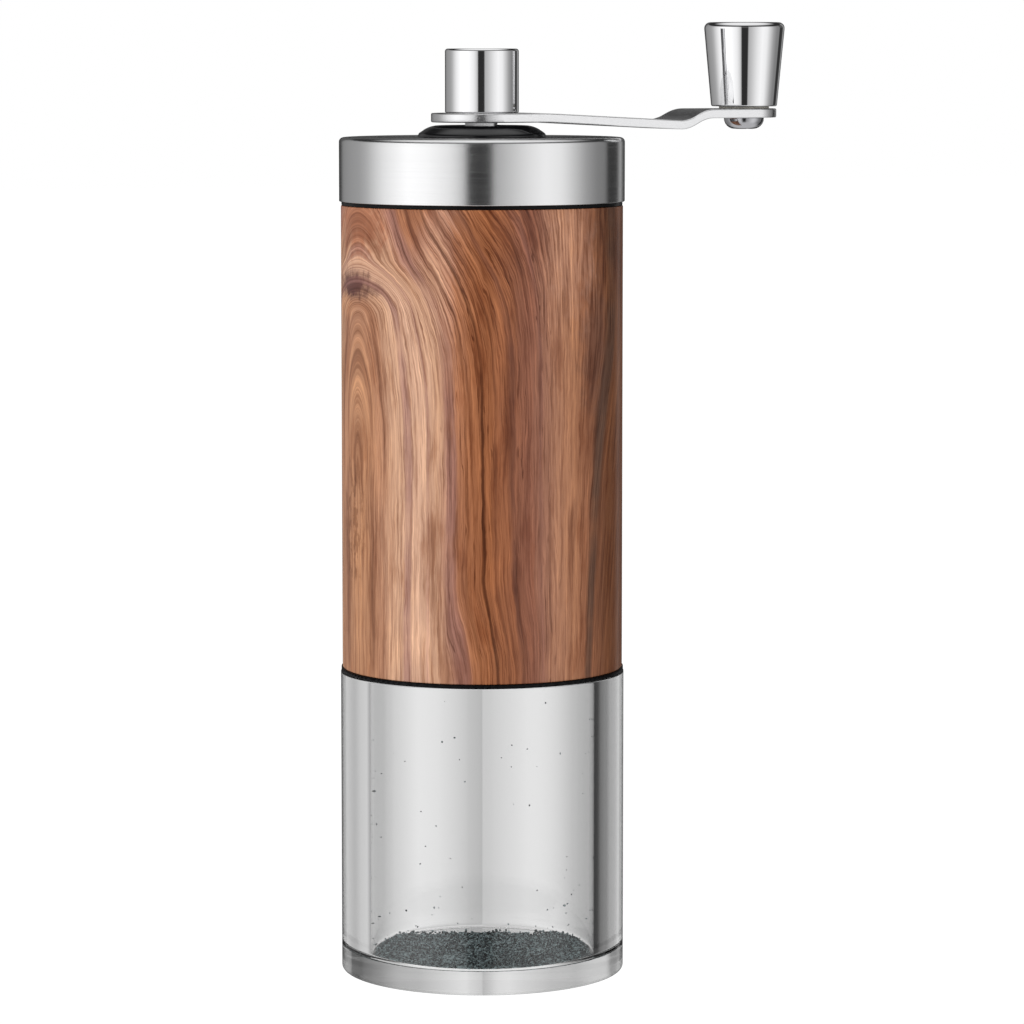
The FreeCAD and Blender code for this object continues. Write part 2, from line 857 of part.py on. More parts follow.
def drive_shaft():
    body = turned(
        "drive_shaft",
        "shaft_base",
        [
            ("0", "0"),
            ("thread_radius", "0"),
            ("thread_radius", "thread_top - shaft_base"),
            ("shaft_radius", "thread_top - shaft_base"),
            ("shaft_radius", "clip_base - shaft_base"),
            ("clip_groove", "clip_base - shaft_base"),
            ("clip_groove", "clip_base + clip_thickness + seat_gap - shaft_base"),
            ("shaft_radius", "clip_base + clip_thickness + seat_gap - shaft_base"),
            ("shaft_radius", "pentagon_base - shaft_base"),
            ("0", "pentagon_base - shaft_base"),
        ],
    )
    primitive(
        body,
        "AdditivePrism",
        "crank_drive",
        Circumradius="pentagon_radius",
        Height="pentagon_length",
        z="pentagon_base - shaft_base",
    ).Polygon = 5
    flat = primitive(
        body,
        "SubtractiveBox",
        "flat",
        Length="shaft_radius * 2",
        Width="shaft_radius",
        Height="flat_length",
        x="-shaft_radius",
        y="flat_half",
        z="thread_top - shaft_base",
    )
    around(body, "flats", [flat], "2")
    groove = body.newObject("PartDesign::Groove", "thread_groove")
    sketch = outline(
        body,
        "thread_profile",
        "XZ_Plane",
        [
            ("thread_radius + thread_depth", "thread_start"),
            ("thread_radius + thread_depth", "thread_start + thread_pitch"),
            ("thread_radius - thread_depth", "thread_start + thread_pitch / 2"),
        ],
    )
    groove.Profile = sketch
    groove.ReferenceAxis = (sketch, ["V_Axis"])
    groove.Angle = 360
    thread = body.newObject("PartDesign::LinearPattern", "thread_grooves")
    thread.Originals = [groove]
    thread.Direction = (origin_part(body, "Z_Axis"), [""])
    bind(thread, Occurrences="thread_rings", Length="thread_pitch * (thread_rings - 1)")
    body.Tip = thread
    doc.recompute()


def mouthed_ring(label, base, inner, outer, height, mouth_half):
    """A spring clip: a washer with a mouth cut through to its bore on the +X side."""
    body = ring(label, base, inner, outer, height)
    primitive(
        body,
        "SubtractiveBox",
        "mouth",
        Length=f"({outer}) * 2",
        Width=f"({mouth_half}) * 2",
        Height=height,
        x="0",
        y=f"-({mouth_half})",
        z="0",
    )


def shaft_fittings():
    """The clip, washers and spring that keep the shaft and burr in their places."""
    inner = "clip_groove + seat_gap"
    mouthed_ring("shaft_clip", "clip_base", inner, "clip_radius", "clip_thickness", "clip_mouth")
    ring("thrust_washer", "thrust_base", "bush_bore", "thrust_washer_radius", "washer_thickness")
    ring("spring_washer", "spring_washer_base", "bush_bore", "key_flange", "washer_thickness")
    ring("spring_seat", "spring_seat_base", "bush_bore", "key_flange", "washer_thickness")


def burr_spring():
    body = new_body("burr_spring", "spring_base + spring_wire")
    wire = body.newObject("Sketcher::SketchObject", "wire")
    wire.AttachmentSupport = [(origin_part(body, "XZ_Plane"), "")]
    wire.MapMode = "FlatFace"
    centre = FreeCAD.Vector(number("spring_radius"), 0, 0)
    wire.addGeometry(Part.Circle(centre, FreeCAD.Vector(0, 0, 1), number("spring_wire")))
    wire.addConstraint(Sketcher.Constraint("PointOnObject", 0, 3, -1))
    hold_rules = (
        (Sketcher.Constraint("DistanceX", -1, 1, 0, 3, centre.x), "spring_radius"),
        (Sketcher.Constraint("Radius", 0, number("spring_wire")), "spring_wire"),
    )
    for constraint, rule in hold_rules:
        index = wire.addConstraint(constraint)
        wire.setExpression(f"Constraints[{index}]", qualified(rule))
    coil = body.newObject("PartDesign::AdditiveHelix", "coil")
    coil.Profile = wire
    coil.ReferenceAxis = (wire, ["V_Axis"])
    coil.Mode = "height-turns-angle"
    bind(coil, Height="spring_washer_base - seat_gap - spring_base - spring_wire * 2", Turns="spring_turns")
    body.Tip = coil
    doc.recompute()


# --- adjusting nut ----------------------------------------------------------------------------


def adjuster_nut():
    body = ring("adjuster_nut", "nut_base", "insert_outer + seat_gap", "nut_radius", "nut_height")
    dressed(body, "Fillet", "nut_edge_round", ("nut_radius", "0"), ("nut_radius", "nut_height"))
    scallop = primitive(
        body,
        "SubtractiveCylinder",
        "scallop",
        Radius="scallop_radius",
        Height="nut_height",
        x="nut_radius + scallop_offset",
        z="0",
    )
    around(body, "scallops", [scallop], "scallop_count")


def nut_insert():
    ring("nut_insert", "nut_base", "insert_bore", "insert_outer", "nut_height")


# --- lid --------------------------------------------------------------------------------------


def lid_shell():
    roof = "lid_height - lid_wall"
    body = turned(
        "lid_shell",
        "lid_base",
        [
            ("body_radius", "0"),
            ("body_radius", "lid_height"),
            ("lid_hole", "lid_height"),
            ("lid_hole", roof),
            ("lid_inner", roof),
            ("lid_inner", "0"),
        ],
    )
    dressed(body, "Fillet", "lid_edge_round", ("body_radius", "lid_height"))


def lid_liner():
    """The lid's inner moulding: a skirt that pushes into the hopper, and a flange and disc."""
    flange_base = "lid_skirt_drop + lid_flange_lift"
    flange_top = flange_base + " + lid_flange_thickness"
    disc_top = "lid_disc_top - lid_skirt_base"
    disc_base = disc_top + " - lid_disc_thickness"
    groove_base = "seal_lift - seal_section - seal_groove_gap"
    groove_top = "seal_lift + seal_section + seal_groove_gap"
    groove_radius = "seal_centre - seal_section - seal_groove_gap"
    inner = "spigot_outer + slip_gap + seat_gap"
    flange_radius = "lid_inner - slip_gap"
    turned(
        "lid_liner",
        "lid_skirt_base",
        [
            (inner, disc_base),
            ("lid_skirt_inner", disc_base),
            ("lid_skirt_inner", "0"),
            ("lid_skirt_outer", "0"),
            ("lid_skirt_outer", groove_base),
            (groove_radius, groove_base),
            (groove_radius, groove_top),
            ("lid_skirt_outer", groove_top),
            ("lid_skirt_outer", flange_base),
            (flange_radius, flange_base),
            (flange_radius, flange_top),
            ("lid_skirt_outer", flange_top),
            ("lid_skirt_outer", disc_top),
            (inner, disc_top),
        ],
    )


def lid_seal():
    torus("lid_seal", "seal_centre", "seal_section", "seal_height")


def lid_collar():
    """The boss round the shaft; its spigot passes the shell and liner to a clip below."""
    clip_low = "collar_clip_base - seat_gap - collar_base"
    clip_high = "collar_clip_base + clip_thickness + seat_gap - collar_base"
    groove = "spigot_outer - collar_clip_bite"
    turned(
        "lid_collar",
        "collar_base",
        [
            ("collar_bore", "-spigot_drop"),
            ("spigot_outer", "-spigot_drop"),
            ("spigot_outer", clip_low),
            (groove, clip_low),
            (groove, clip_high),
            ("spigot_outer", clip_high),
            ("spigot_outer", "0"),
            ("collar_radius", "0"),
            ("collar_radius", "collar_edge"),
            ("collar_radius - collar_crown", "collar_height"),
            ("collar_bore", "collar_height"),
        ],
    )


def collar_clip():
    inner = "spigot_outer - collar_clip_bite + seat_gap"
    outer = "spigot_outer + collar_clip_width"
    mouthed_ring("collar_clip", "collar_clip_base", inner, outer, "clip_thickness", "collar_clip_mouth")


# --- crank ------------------------------------------------------------------------------------


def crank_socket():
    """The post over the shaft's five-sided end; its spigot is riveted through the arm."""
    shoulder = "socket_base - arm_base"
    top = "socket_top - arm_base"
    body = turned(
        "crank_socket",
        "arm_base",
        [
            ("0", "0"),
            ("spigot_radius", "0"),
            ("spigot_radius", shoulder),
            ("socket_radius", shoulder),
            ("socket_radius", top),
            ("0", top),
        ],
    )
    dressed(body, "Fillet", "socket_round", ("socket_radius", top))
    socket = primitive(
        body,
        "SubtractivePrism",
        "socket",
        Circumradius="pentagon_radius + socket_gap",
        Height="shaft_tip + slip_gap - arm_base",
        z="0",
    )
    socket.Polygon = 5


def arm_plan(name):
    """The arm from above: two round ends joined by straight tangent sides, and two holes."""
    sketch = doc.addObject("Sketcher::SketchObject", name)
    hub, end, length = number("arm_hub_end"), number("arm_knob_end"), number("arm_length")
    lean = math.acos((hub - end) / length)
    up = FreeCAD.Vector(0, 0, 1)
    hub_circle = Part.Circle(FreeCAD.Vector(0, 0, 0), up, hub)
    end_circle = Part.Circle(FreeCAD.Vector(length, 0, 0), up, end)
    side = FreeCAD.Vector(math.cos(lean), math.sin(lean), 0)
    other = FreeCAD.Vector(math.cos(lean), -math.sin(lean), 0)
    far = FreeCAD.Vector(length, 0, 0)
    sketch.addGeometry(
        [
            Part.ArcOfCircle(hub_circle, lean, 2 * math.pi - lean),
            Part.LineSegment(other * hub, far + other * end),
            Part.ArcOfCircle(end_circle, -lean, lean),
            Part.LineSegment(far + side * end, side * hub),
            Part.Circle(FreeCAD.Vector(0, 0, 0), up, number("spigot_radius + seat_gap")),
            Part.Circle(far, up, number("knob_hole")),
        ]
    )
    for first, first_end, second, second_end in ((0, 2, 1, 1), (1, 2, 2, 1), (2, 2, 3, 1), (3, 2, 0, 1)):
        sketch.addConstraint(Sketcher.Constraint("Tangent", first, first_end, second, second_end))
    sketch.addConstraint(Sketcher.Constraint("Coincident", 0, 3, -1, 1))
    sketch.addConstraint(Sketcher.Constraint("PointOnObject", 2, 3, -1))
    sketch.addConstraint(Sketcher.Constraint("Coincident", 4, 3, 0, 3))
    sketch.addConstraint(Sketcher.Constraint("Coincident", 5, 3, 2, 3))
    for constraint, rule in (
        (Sketcher.Constraint("Radius", 0, hub), "arm_hub_end"),
        (Sketcher.Constraint("Radius", 2, end), "arm_knob_end"),
        (Sketcher.Constraint("DistanceX", -1, 1, 2, 3, length), "arm_length"),
        (Sketcher.Constraint("Radius", 4, number("spigot_radius + seat_gap")), "spigot_radius + seat_gap"),
        (Sketcher.Constraint("Radius", 5, number("knob_hole")), "knob_hole"),
    ):
        index = sketch.addConstraint(constraint)
        sketch.setExpression(f"Constraints[{index}]", qualified(rule))
    return sketch


def crank_arm():
    """A flat strip with a slight droop and a jog up to its knob end, cut to the arm's plan."""
    top = "arm_thickness"
    low = "arm_thickness - arm_drop"
    end = low + " + jog_rise"
    reach = "arm_length + arm_knob_end + running_gap"
    strip = new_body("arm_strip", "arm_base")
    side = outline(
        strip,
        "side",
        "XZ_Plane",
        [
            ("-(arm_hub_end + running_gap)", "0"),
            ("arm_drop_start", "0"),
            ("jog_start", f"{low} - arm_thickness"),
            ("jog_start + jog_run", f"{end} - arm_thickness"),
            (reach, f"{end} - arm_thickness"),
            (reach, end),
            ("jog_start + jog_run", end),
            ("jog_start", low),
            ("arm_drop_start", top),
            ("-(arm_hub_end + running_gap)", top),
        ],
    )
    pad = strip.newObject("PartDesign::Pad", "strip")
    pad.Profile = side
    pad.Midplane = True
    bind(pad, Length="arm_hub_end * 2 + running_gap")
    strip.Tip = pad
    plan = doc.addObject("Part::Extrusion", "arm_blank")
    plan.Base = arm_plan("arm_plan")
    plan.Dir = FreeCAD.Vector(0, 0, 1)
    plan.Solid = True
    bind(plan, LengthFwd="arm_drop + arm_thickness + jog_rise + running_gap * 2")
    bind(plan, z="arm_base - arm_drop - running_gap")
    arm = doc.addObject("Part::MultiCommon", "crank_arm")
    arm.Label = "crank_arm"
    arm.Shapes = [strip, plan]
    doc.recompute()


# --- knob -------------------------------------------------------------------------------------


def knob_shell():
    body = turned(
        "knob_shell",
        "knob_base",
        [
            ("knob_low_radius - knob_wall", "0"),
            ("knob_low_radius", "0"),
            ("knob_top_radius", "knob_length"),
            ("0", "knob_length"),
            ("0", "knob_length - knob_wall"),
            ("knob_top_radius - knob_wall", "knob_length - knob_wall"),
        ],
        x="arm_length",
    )
    dressed(body, "Fillet", "knob_round", ("knob_top_radius", "knob_length"))


def knob_core():
    """The plug inside the knob's shell, with the thread for the knob's screw."""
    top = "knob_length - knob_wall - seat_gap"
    thread_end = "knob_screw_thread_length + running_gap"
    turned(
        "knob_core",
        "knob_base",
        [
            ("knob_screw_thread + seat_gap", "seat_gap"),
            ("knob_low_radius - knob_wall - slip_gap", "seat_gap"),
            ("knob_top_radius - knob_wall - slip_gap", top),
            ("0", top),
            ("0", thread_end),
            ("knob_screw_thread + seat_gap", thread_end),
        ],
        x="arm_length",
    )


def knob_screw():
    """A cross-recessed shoulder screw, up through the arm's end into the knob's core."""
    shoulder_top = "knob_base - knob_screw_base"
    head = "knob_screw_head_height"
    body = turned(
        "knob_screw",
        "knob_screw_base",
        [
            ("0", "0"),
            ("knob_screw_head", "0"),
            ("knob_screw_head", head),
            ("knob_screw_shoulder", head),
            ("knob_screw_shoulder", shoulder_top),
            ("knob_screw_thread", shoulder_top),
            ("knob_screw_thread", shoulder_top + " + knob_screw_thread_length"),
            ("0", shoulder_top + " + knob_screw_thread_length"),
        ],
        x="arm_length",
    )
    dressed(body, "Fillet", "knob_screw_round", ("knob_screw_head", "0"))
    slot = primitive(
        body,
        "SubtractiveBox",
        "recess",
        Length="recess_reach * 2",
        Width="recess_half_width * 2",
        Height="recess_depth",
        x="-recess_reach",
        y="-recess_half_width",
        z="0",
    )
    around(body, "recesses", [slot], "4")


def knob_washer():
    inner, outer = "knob_hole", "knob_washer_radius"
    ring("knob_washer", "knob_washer_base", inner, outer, "knob_washer_thickness", x="arm_length")


NODES = (
    "powder_cup",
    "cup_oring",
    "wood_sleeve",
    "body_tube",
    "top_trim_ring",
    "burr_carrier",
    "hopper_liner",
    "lower_bridge",
    "upper_bridge",
    "lower_bush",
    "upper_bush",
    "lower_bridge_screws",
    "upper_bridge_screws",
    "inner_burr",
    "outer_burr",
    "burr_retainer",
    "retainer_screws",
    "burr_key",
    "drive_shaft",
    "shaft_clip",
    "thrust_washer",
    "spring_washer",
    "spring_seat",
    "burr_spring",
    "adjuster_nut",
    "nut_insert",
    "lid_shell",
    "lid_liner",
    "lid_seal",
    "lid_collar",
    "collar_clip",
    "crank_socket",
    "crank_arm",
    "knob_shell",
    "knob_core",
    "knob_screw",
    "knob_washer",
)


def build():
    for make in (
        powder_cup,
        cup_oring,
        wood_sleeve,
        body_tube,
        top_trim_ring,
        burr_carrier,
        hopper_liner,
        lower_bridge,
        upper_bridge,
        lower_bush,
        upper_bush,
        bridge_screws,
        inner_burr,
        outer_burr,
        burr_retainer,
        retainer_screws,
        burr_key,
        drive_shaft,
        shaft_fittings,
        burr_spring,
        adjuster_nut,
        nut_insert,
        lid_shell,
        lid_liner,
        lid_seal,
        lid_collar,
        collar_clip,
        crank_socket,
        crank_arm,
        knob_shell,
        knob_core,
        knob_screw,
        knob_washer,
    ):
        make()
    doc.recompute()


def export():
    """Writes every sub-part's shape once all objects have been computed without an error."""
    for item in doc.Objects:
        if "Invalid" in item.State or "Error" in item.State:
            raise RuntimeError(f"{item.Label} was not computed: {item.State}")
    pieces = {name: doc.getObjectsByLabel(name)[0] for name in NODES}
    for name, piece in pieces.items():
        if piece.Shape.isNull() or not piece.Shape.isValid() or not piece.Shape.Solids:
            raise RuntimeError(f"{name} has no valid solid")
    os.makedirs("parts", exist_ok=True)
    for name, piece in pieces.items():
        piece.Shape.exportStep(f"parts/{name}.step")
        box = piece.Shape.BoundBox
        heights = f"z {box.ZMin:.2f} to {box.ZMax:.2f}"
        print(f"{name}: {len(piece.Shape.Solids)} solids, {piece.Shape.Volume:.1f} mm3, {heights}")


build()
export()
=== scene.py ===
"""Looks of a hand burr coffee grinder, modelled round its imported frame.

The frame gives every place and size. Each sub-assembly below is a class that models the pieces
that are seen, dresses them, and says which body each one moves with.
"""

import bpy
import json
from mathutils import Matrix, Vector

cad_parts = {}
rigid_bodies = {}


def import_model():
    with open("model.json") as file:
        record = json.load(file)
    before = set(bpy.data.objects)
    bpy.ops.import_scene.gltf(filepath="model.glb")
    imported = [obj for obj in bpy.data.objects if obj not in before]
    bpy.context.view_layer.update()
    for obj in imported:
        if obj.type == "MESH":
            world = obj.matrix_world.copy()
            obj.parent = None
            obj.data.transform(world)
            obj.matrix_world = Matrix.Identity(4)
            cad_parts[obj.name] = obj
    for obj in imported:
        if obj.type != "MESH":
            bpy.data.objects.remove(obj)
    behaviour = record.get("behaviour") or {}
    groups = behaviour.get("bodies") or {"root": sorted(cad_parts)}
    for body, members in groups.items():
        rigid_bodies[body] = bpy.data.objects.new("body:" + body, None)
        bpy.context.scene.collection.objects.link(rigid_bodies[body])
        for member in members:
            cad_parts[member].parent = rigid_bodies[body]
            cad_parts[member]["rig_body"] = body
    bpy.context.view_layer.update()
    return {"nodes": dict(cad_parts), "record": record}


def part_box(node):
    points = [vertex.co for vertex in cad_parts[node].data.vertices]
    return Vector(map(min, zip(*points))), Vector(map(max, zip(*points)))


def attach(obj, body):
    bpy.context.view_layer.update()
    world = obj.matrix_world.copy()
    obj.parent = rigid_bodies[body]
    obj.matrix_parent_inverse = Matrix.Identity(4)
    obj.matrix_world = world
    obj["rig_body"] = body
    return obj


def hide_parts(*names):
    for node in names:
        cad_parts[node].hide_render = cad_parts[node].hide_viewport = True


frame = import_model()

import json
import logging
import math
import random
from dataclasses import dataclass
from enum import Enum
from typing import ClassVar

import bpy
from mathutils import Matrix, Vector, noise

log = logging.getLogger("grinder")

MM = 0.001

# The side of the grinder that the camera faces, as an angle about +Z from +X.
FACING = math.radians(-115)

Colour = tuple[float, float, float]
Point = tuple[float, float]
Stops = list[tuple[float, Colour]]
Span = tuple[float, float, float, float]
Node = bpy.types.Node
Socket = bpy.types.NodeSocket
Material = bpy.types.Material
Piece = bpy.types.Object


class Body(Enum):
    """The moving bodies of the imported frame."""

    BARREL = "body"
    CUP = "cup"
    DRIVE = "drive"
    BURR = "burr"
    ADJUSTER = "adjuster"
    LID = "lid"
    CRANK = "crank"
    KNOB = "knob"


class Slot(Enum):
    """The record's material slots."""

    ACRYLIC = "clear_acrylic"
    SILICONE = "silicone"
    WOOD = "wood_grain"
    BRUSHED = "brushed_steel"
    TUBE = "tube_steel"
    SATIN = "satin_steel"
    CHROME = "chrome"
    SEAM = "black_seam"
    MOULDING = "black_moulding"
    GLOSS_BLACK = "gloss_black"
    CERAMIC = "ceramic"
    NYLON = "nylon"
    BRASS = "brass"
    SPRING = "spring_steel"
    SCREW = "screw_steel"


# --- shader building ---


class Graph:
    """A node tree with short ways to add and join nodes."""

    def __init__(self, tree: bpy.types.NodeTree) -> None:
        """Empties the node tree of a material or a world."""
        self.tree = tree
        tree.nodes.clear()

    def node(self, kind: str, *values: object, **named: object) -> Node:
        """Adds a node, changes its settings and sets or links its inputs.

        Args:
            kind: The node's type, without "ShaderNode".
            values: A value or a socket for each of its first inputs, in order.
            named: The same for inputs by their names, with underscores for spaces; names that
                start in lower case are the node's own settings.

        Returns:
            The new node.
        """
        node = self.tree.nodes.new("ShaderNode" + kind)
        for name in list(filter(str.islower, named)):
            setattr(node, name, named.pop(name))
        for socket, value in zip(node.inputs, values):
            self.put(socket, value)
        for name, value in named.items():
            self.put(node.inputs[name.replace("_", " ")], value)
        return node

    def put(self, socket: Socket, value: object) -> None:
        """Links a socket to an input, or sets the input's own value."""
        if isinstance(value, Socket):
            self.tree.links.new(value, socket)
        elif isinstance(value, tuple) and len(value) == 3 and socket.type == "RGBA":
            socket.default_value = (*value, 1.0)
        else:
            socket.default_value = value

    def math(self, operation: str, *values: object) -> Socket:
        """The result of a maths node with one to three numbers."""
        return self.node("Math", *values, operation=operation).outputs[0]

    def times(self, first: object, second: object) -> Socket:
        """The product of two numbers."""
        return self.math("MULTIPLY", first, second)

    def plus(self, first: object, second: object) -> Socket:
        """The sum of two numbers."""
        return self.math("ADD", first, second)

    def less(self, first: object, second: object) -> Socket:
        """The first number less the second."""
        return self.math("SUBTRACT", first, second)

    def length(self, across: object, up: object) -> Socket:
        """The length of a slope that goes this far across and this far up."""
        squares = self.plus(self.times(across, across), self.times(up, up))
        return self.math("SQRT", squares)

    def swing(self, noise: object, reach: float) -> Socket:
        """A noise turned into a shift either way, by up to half the reach."""
        return self.times(self.less(noise, 0.5), reach)

    def ease(self, value: object, low: float, high: float, start: float, end: float) -> Socket:
        """Changes smoothly from start to end as the value goes from low to high."""
        inputs = (value, low, high, start, end)
        return self.node("MapRange", *inputs, interpolation_type="SMOOTHSTEP").outputs[0]

    def noise(
        self, place: object, scale: float, detail: float = 2.0, roughness: float = 0.5
    ) -> Socket:
        """Noise from 0 to 1, with this many cells per unit and this much fine detail."""
        inputs = {"Vector": place, "Scale": scale, "Detail": detail, "Roughness": roughness}
        return self.node("TexNoise", **inputs).outputs["Fac"]

    def ramp(self, value: object, stops: Stops, smooth: str = "EASE") -> Socket:
        """Adds a colour ramp.

        Args:
            value: The place on the ramp.
            stops: Places and colours, in order.
            smooth: The interpolation between stops.

        Returns:
            The colour.
        """
        node = self.node("ValToRGB", value)
        node.color_ramp.interpolation = smooth
        elements = node.color_ramp.elements
        while len(elements) < len(stops):
            elements.new(1.0)
        for element, (place, colour) in zip(elements, stops):
            element.position = place
            element.color = (*colour, 1.0)
        return node.outputs["Color"]

    def mix(self, share: object, first: object, second: object, mode: str = "MIX") -> Socket:
        """Mixes two colours.

        Args:
            share: How much of the second colour.
            first: The first colour.
            second: The second colour.
            mode: The blend mode.

        Returns:
            The mixed colour.
        """
        node = self.node("Mix", share, data_type="RGBA", blend_type=mode)
        self.put(node.inputs[6], first)
        self.put(node.inputs[7], second)
        return node.outputs[2]

    def shaders(self, share: object, first: object, second: object) -> Socket:
        """Mixes two shaders, by the share of the second."""
        return self.node("MixShader", share, first, second).outputs[0]

    def vector(self, x: object, y: object, z: object) -> Socket:
        """Joins three numbers into a vector."""
        return self.node("CombineXYZ", x, y, z).outputs[0]

    def facing_axes(self, place: object) -> tuple[Socket, ...]:
        """A place's coordinates, with X towards the facing side."""
        turned = self.node("VectorRotate", place, Angle=-FACING, rotation_type="Z_AXIS")
        return tuple(self.node("SeparateXYZ", turned.outputs[0]).outputs)

    def bump(self, height: object, strength: float, distance: float) -> Socket:
        """Turns a height into a bumped normal."""
        return self.node("Bump", Height=height, Strength=strength, Distance=distance).outputs[0]


class Surface(Graph):
    """A material's graph, with places read in the piece's own coordinates, in millimetres."""

    def __init__(self, name: str) -> None:
        """Makes a material of this name and reads its coordinates."""
        self.material = bpy.data.materials.new(name)
        self.material.use_nodes = True
        super().__init__(self.material.node_tree)
        place = self.node("TexCoord").outputs["Object"]
        scaled = self.node("VectorMath", place, Scale=1 / MM, operation="SCALE")
        self.place_mm = scaled.outputs[0]

    def axes(self) -> tuple[Socket, ...]:
        """The three coordinates, in millimetres."""
        return tuple(self.node("SeparateXYZ", self.place_mm).outputs)

    def around(self) -> tuple[Socket, Socket, Socket]:
        """Reads the place round the upright axis.

        Returns:
            The angle in radians, the distance from the axis and the height, in millimetres.
        """
        x, y, z = self.axes()
        return self.math("ARCTAN2", y, x), self.length(x, y), z

    def finish(self, **inputs: object) -> Material:
        """The material, finished with a Principled shader that has these inputs."""
        return self.close(self.node("BsdfPrincipled", **inputs).outputs[0])

    def metal(self, colour: Colour, rough: object, **inputs: object) -> Material:
        """The material, finished as metal."""
        return self.finish(Base_Color=colour, Metallic=1.0, Roughness=rough, **inputs)

    def close(self, shader: Socket) -> Material:
        """The material, finished with a shader of any kind."""
        self.node("OutputMaterial", Surface=shader)
        return self.material


@dataclass(frozen=True)
class Finish:
    """A finish, which makes its material once and gives it to any number of pieces."""

    slot: Slot

    def material(self) -> Material:
        """The finish's material, made on first use."""
        name = self.name()
        return bpy.data.materials.get(name) or self.make(name)

    def name(self) -> str:
        """The material's name."""
        return self.slot.value + "_finish"

    def make(self, name: str) -> Material:
        """Makes the material; each finish has its own way."""
        raise NotImplementedError

    def dress(self, piece: Piece) -> None:
        """Gives the piece this finish and no other."""
        piece.data.materials.clear()
        piece.data.materials.append(self.material())


@dataclass(frozen=True)
class ClearAcrylic(Finish):
    """Polished clear acrylic, which lets lamps through to what stands behind it."""

    slot: Slot = Slot.ACRYLIC
    index: float = 1.49
    tint: Colour = (0.99, 0.99, 0.99)
    shadow: Colour = (0.96, 0.97, 0.97)

    def make(self, name: str) -> Material:
        """Makes glass that casts a clear shadow, with faint handling marks in its gloss."""
        graph = Surface(name)
        marks = graph.noise(graph.place_mm, 0.35, 3.0, 0.6)
        gloss = graph.ease(marks, 0.45, 0.8, 0.0, 0.018)
        inputs = {"Roughness": gloss, "IOR": self.index, "Transmission_Weight": 1.0}
        glass = graph.node("BsdfPrincipled", Base_Color=self.tint, **inputs)
        clear = graph.node("BsdfTransparent", Color=self.shadow)
        shadow = graph.node("LightPath").outputs["Is Shadow Ray"]
        return graph.close(graph.shaders(shadow, glass.outputs[0], clear.outputs[0]))


@dataclass(frozen=True)
class Metal(Finish):
    """Plain metal with cloudy gloss.

    Attributes:
        colour: Its colour.
        gloss: Roughness at its smoothest.
        wear: How much rougher it gets in patches.
        grain: Size of the surface's own texture, as a bump in millimetres.
    """

    slot: Slot = Slot.CHROME
    colour: Colour = (0.86, 0.86, 0.87)
    gloss: float = 0.03
    wear: float = 0.04
    grain: float = 0.0

    def make(self, name: str) -> Material:
        """Makes the metal, cloudy at two scales."""
        graph = Surface(name)
        cloud = graph.noise(graph.place_mm, 0.22, 4.0, 0.6)
        fine = graph.noise(graph.place_mm, 6.0, 3.0, 0.7)
        rough = graph.ease(cloud, 0.35, 0.75, self.gloss, self.gloss + self.wear)
        bumps = {"Normal": graph.bump(fine, 0.4, self.grain * MM)} if self.grain else {}
        return graph.metal(self.colour, rough, **bumps)


@dataclass(frozen=True)
class TurnedSteel(Finish):
    """Stainless steel brushed round the axis, so its lines run round the sides and the top."""

    slot: Slot = Slot.BRUSHED
    colour: Colour = (0.80, 0.80, 0.805)
    gloss: float = 0.2
    anisotropy: float = 0.75

    def make(self, name: str) -> Material:
        """Makes fine closed lines of two widths, in gloss and in bump."""
        graph = Surface(name)
        angle, reach, height = graph.around()
        line = graph.plus(reach, height)
        drift = graph.times(graph.math("COSINE", angle), 0.6)
        wide = graph.noise(graph.vector(graph.times(line, 6.0), drift, 0.0), 1.0, 3.0, 0.65)
        fine = graph.noise(graph.vector(graph.times(line, 26.0), drift, 4.0), 1.0, 2.0, 0.6)
        lines = graph.plus(graph.times(wide, 0.5), graph.times(fine, 0.5))
        rough = graph.ease(lines, 0.3, 0.7, self.gloss - 0.05, self.gloss + 0.07)
        tangent = graph.node("Tangent", direction_type="RADIAL", axis="Z").outputs[0]
        brushed = {"Anisotropic": self.anisotropy, "Anisotropic_Rotation": 0.25, "Tangent": tangent}
        normal = graph.bump(lines, 0.25, 0.012 * MM)
        return graph.metal(self.colour, rough, Normal=normal, **brushed)


@dataclass(frozen=True)
class SatinSteel(Finish):
    """Steel strip with fine lines along X, brushed along its length."""

    slot: Slot = Slot.SATIN
    colour: Colour = (0.80, 0.80, 0.81)
    gloss: float = 0.2

    def make(self, name: str) -> Material:
        """Makes lines that run along the strip and stay fine across it."""
        graph = Surface(name)
        x, y, z = graph.axes()
        along = graph.times(x, 0.35)
        across = graph.times(y, 14.0)
        lines = graph.noise(graph.vector(along, across, graph.times(z, 14.0)), 1.0, 3.0, 0.6)
        rough = graph.ease(lines, 0.3, 0.7, self.gloss - 0.06, self.gloss + 0.1)
        return graph.metal(self.colour, rough, Normal=graph.bump(lines, 0.2, 0.01 * MM))


@dataclass(frozen=True)
class Streak:
    """A dark line in the wood that follows the grain.

    Attributes:
        place: The growth line that it runs along, in millimetres.
        width: Half its width, in millimetres.
        depth: How far it covers the wood, from 0 to 1.
        colour: Its colour.
    """

    place: float
    width: float
    depth: float
    colour: Colour


@dataclass(frozen=True)
class Patch:
    """A ragged oval stain in the wood, in millimetres on the unrolled barrel.

    Attributes:
        across: Its middle's distance round from the facing side.
        up: Its middle's height.
        width: Half its width.
        tall: Half its height.
        depth: How far it covers the wood, from 0 to 1.
        colour: Its colour.
    """

    across: float
    up: float
    width: float
    tall: float
    depth: float
    colour: Colour


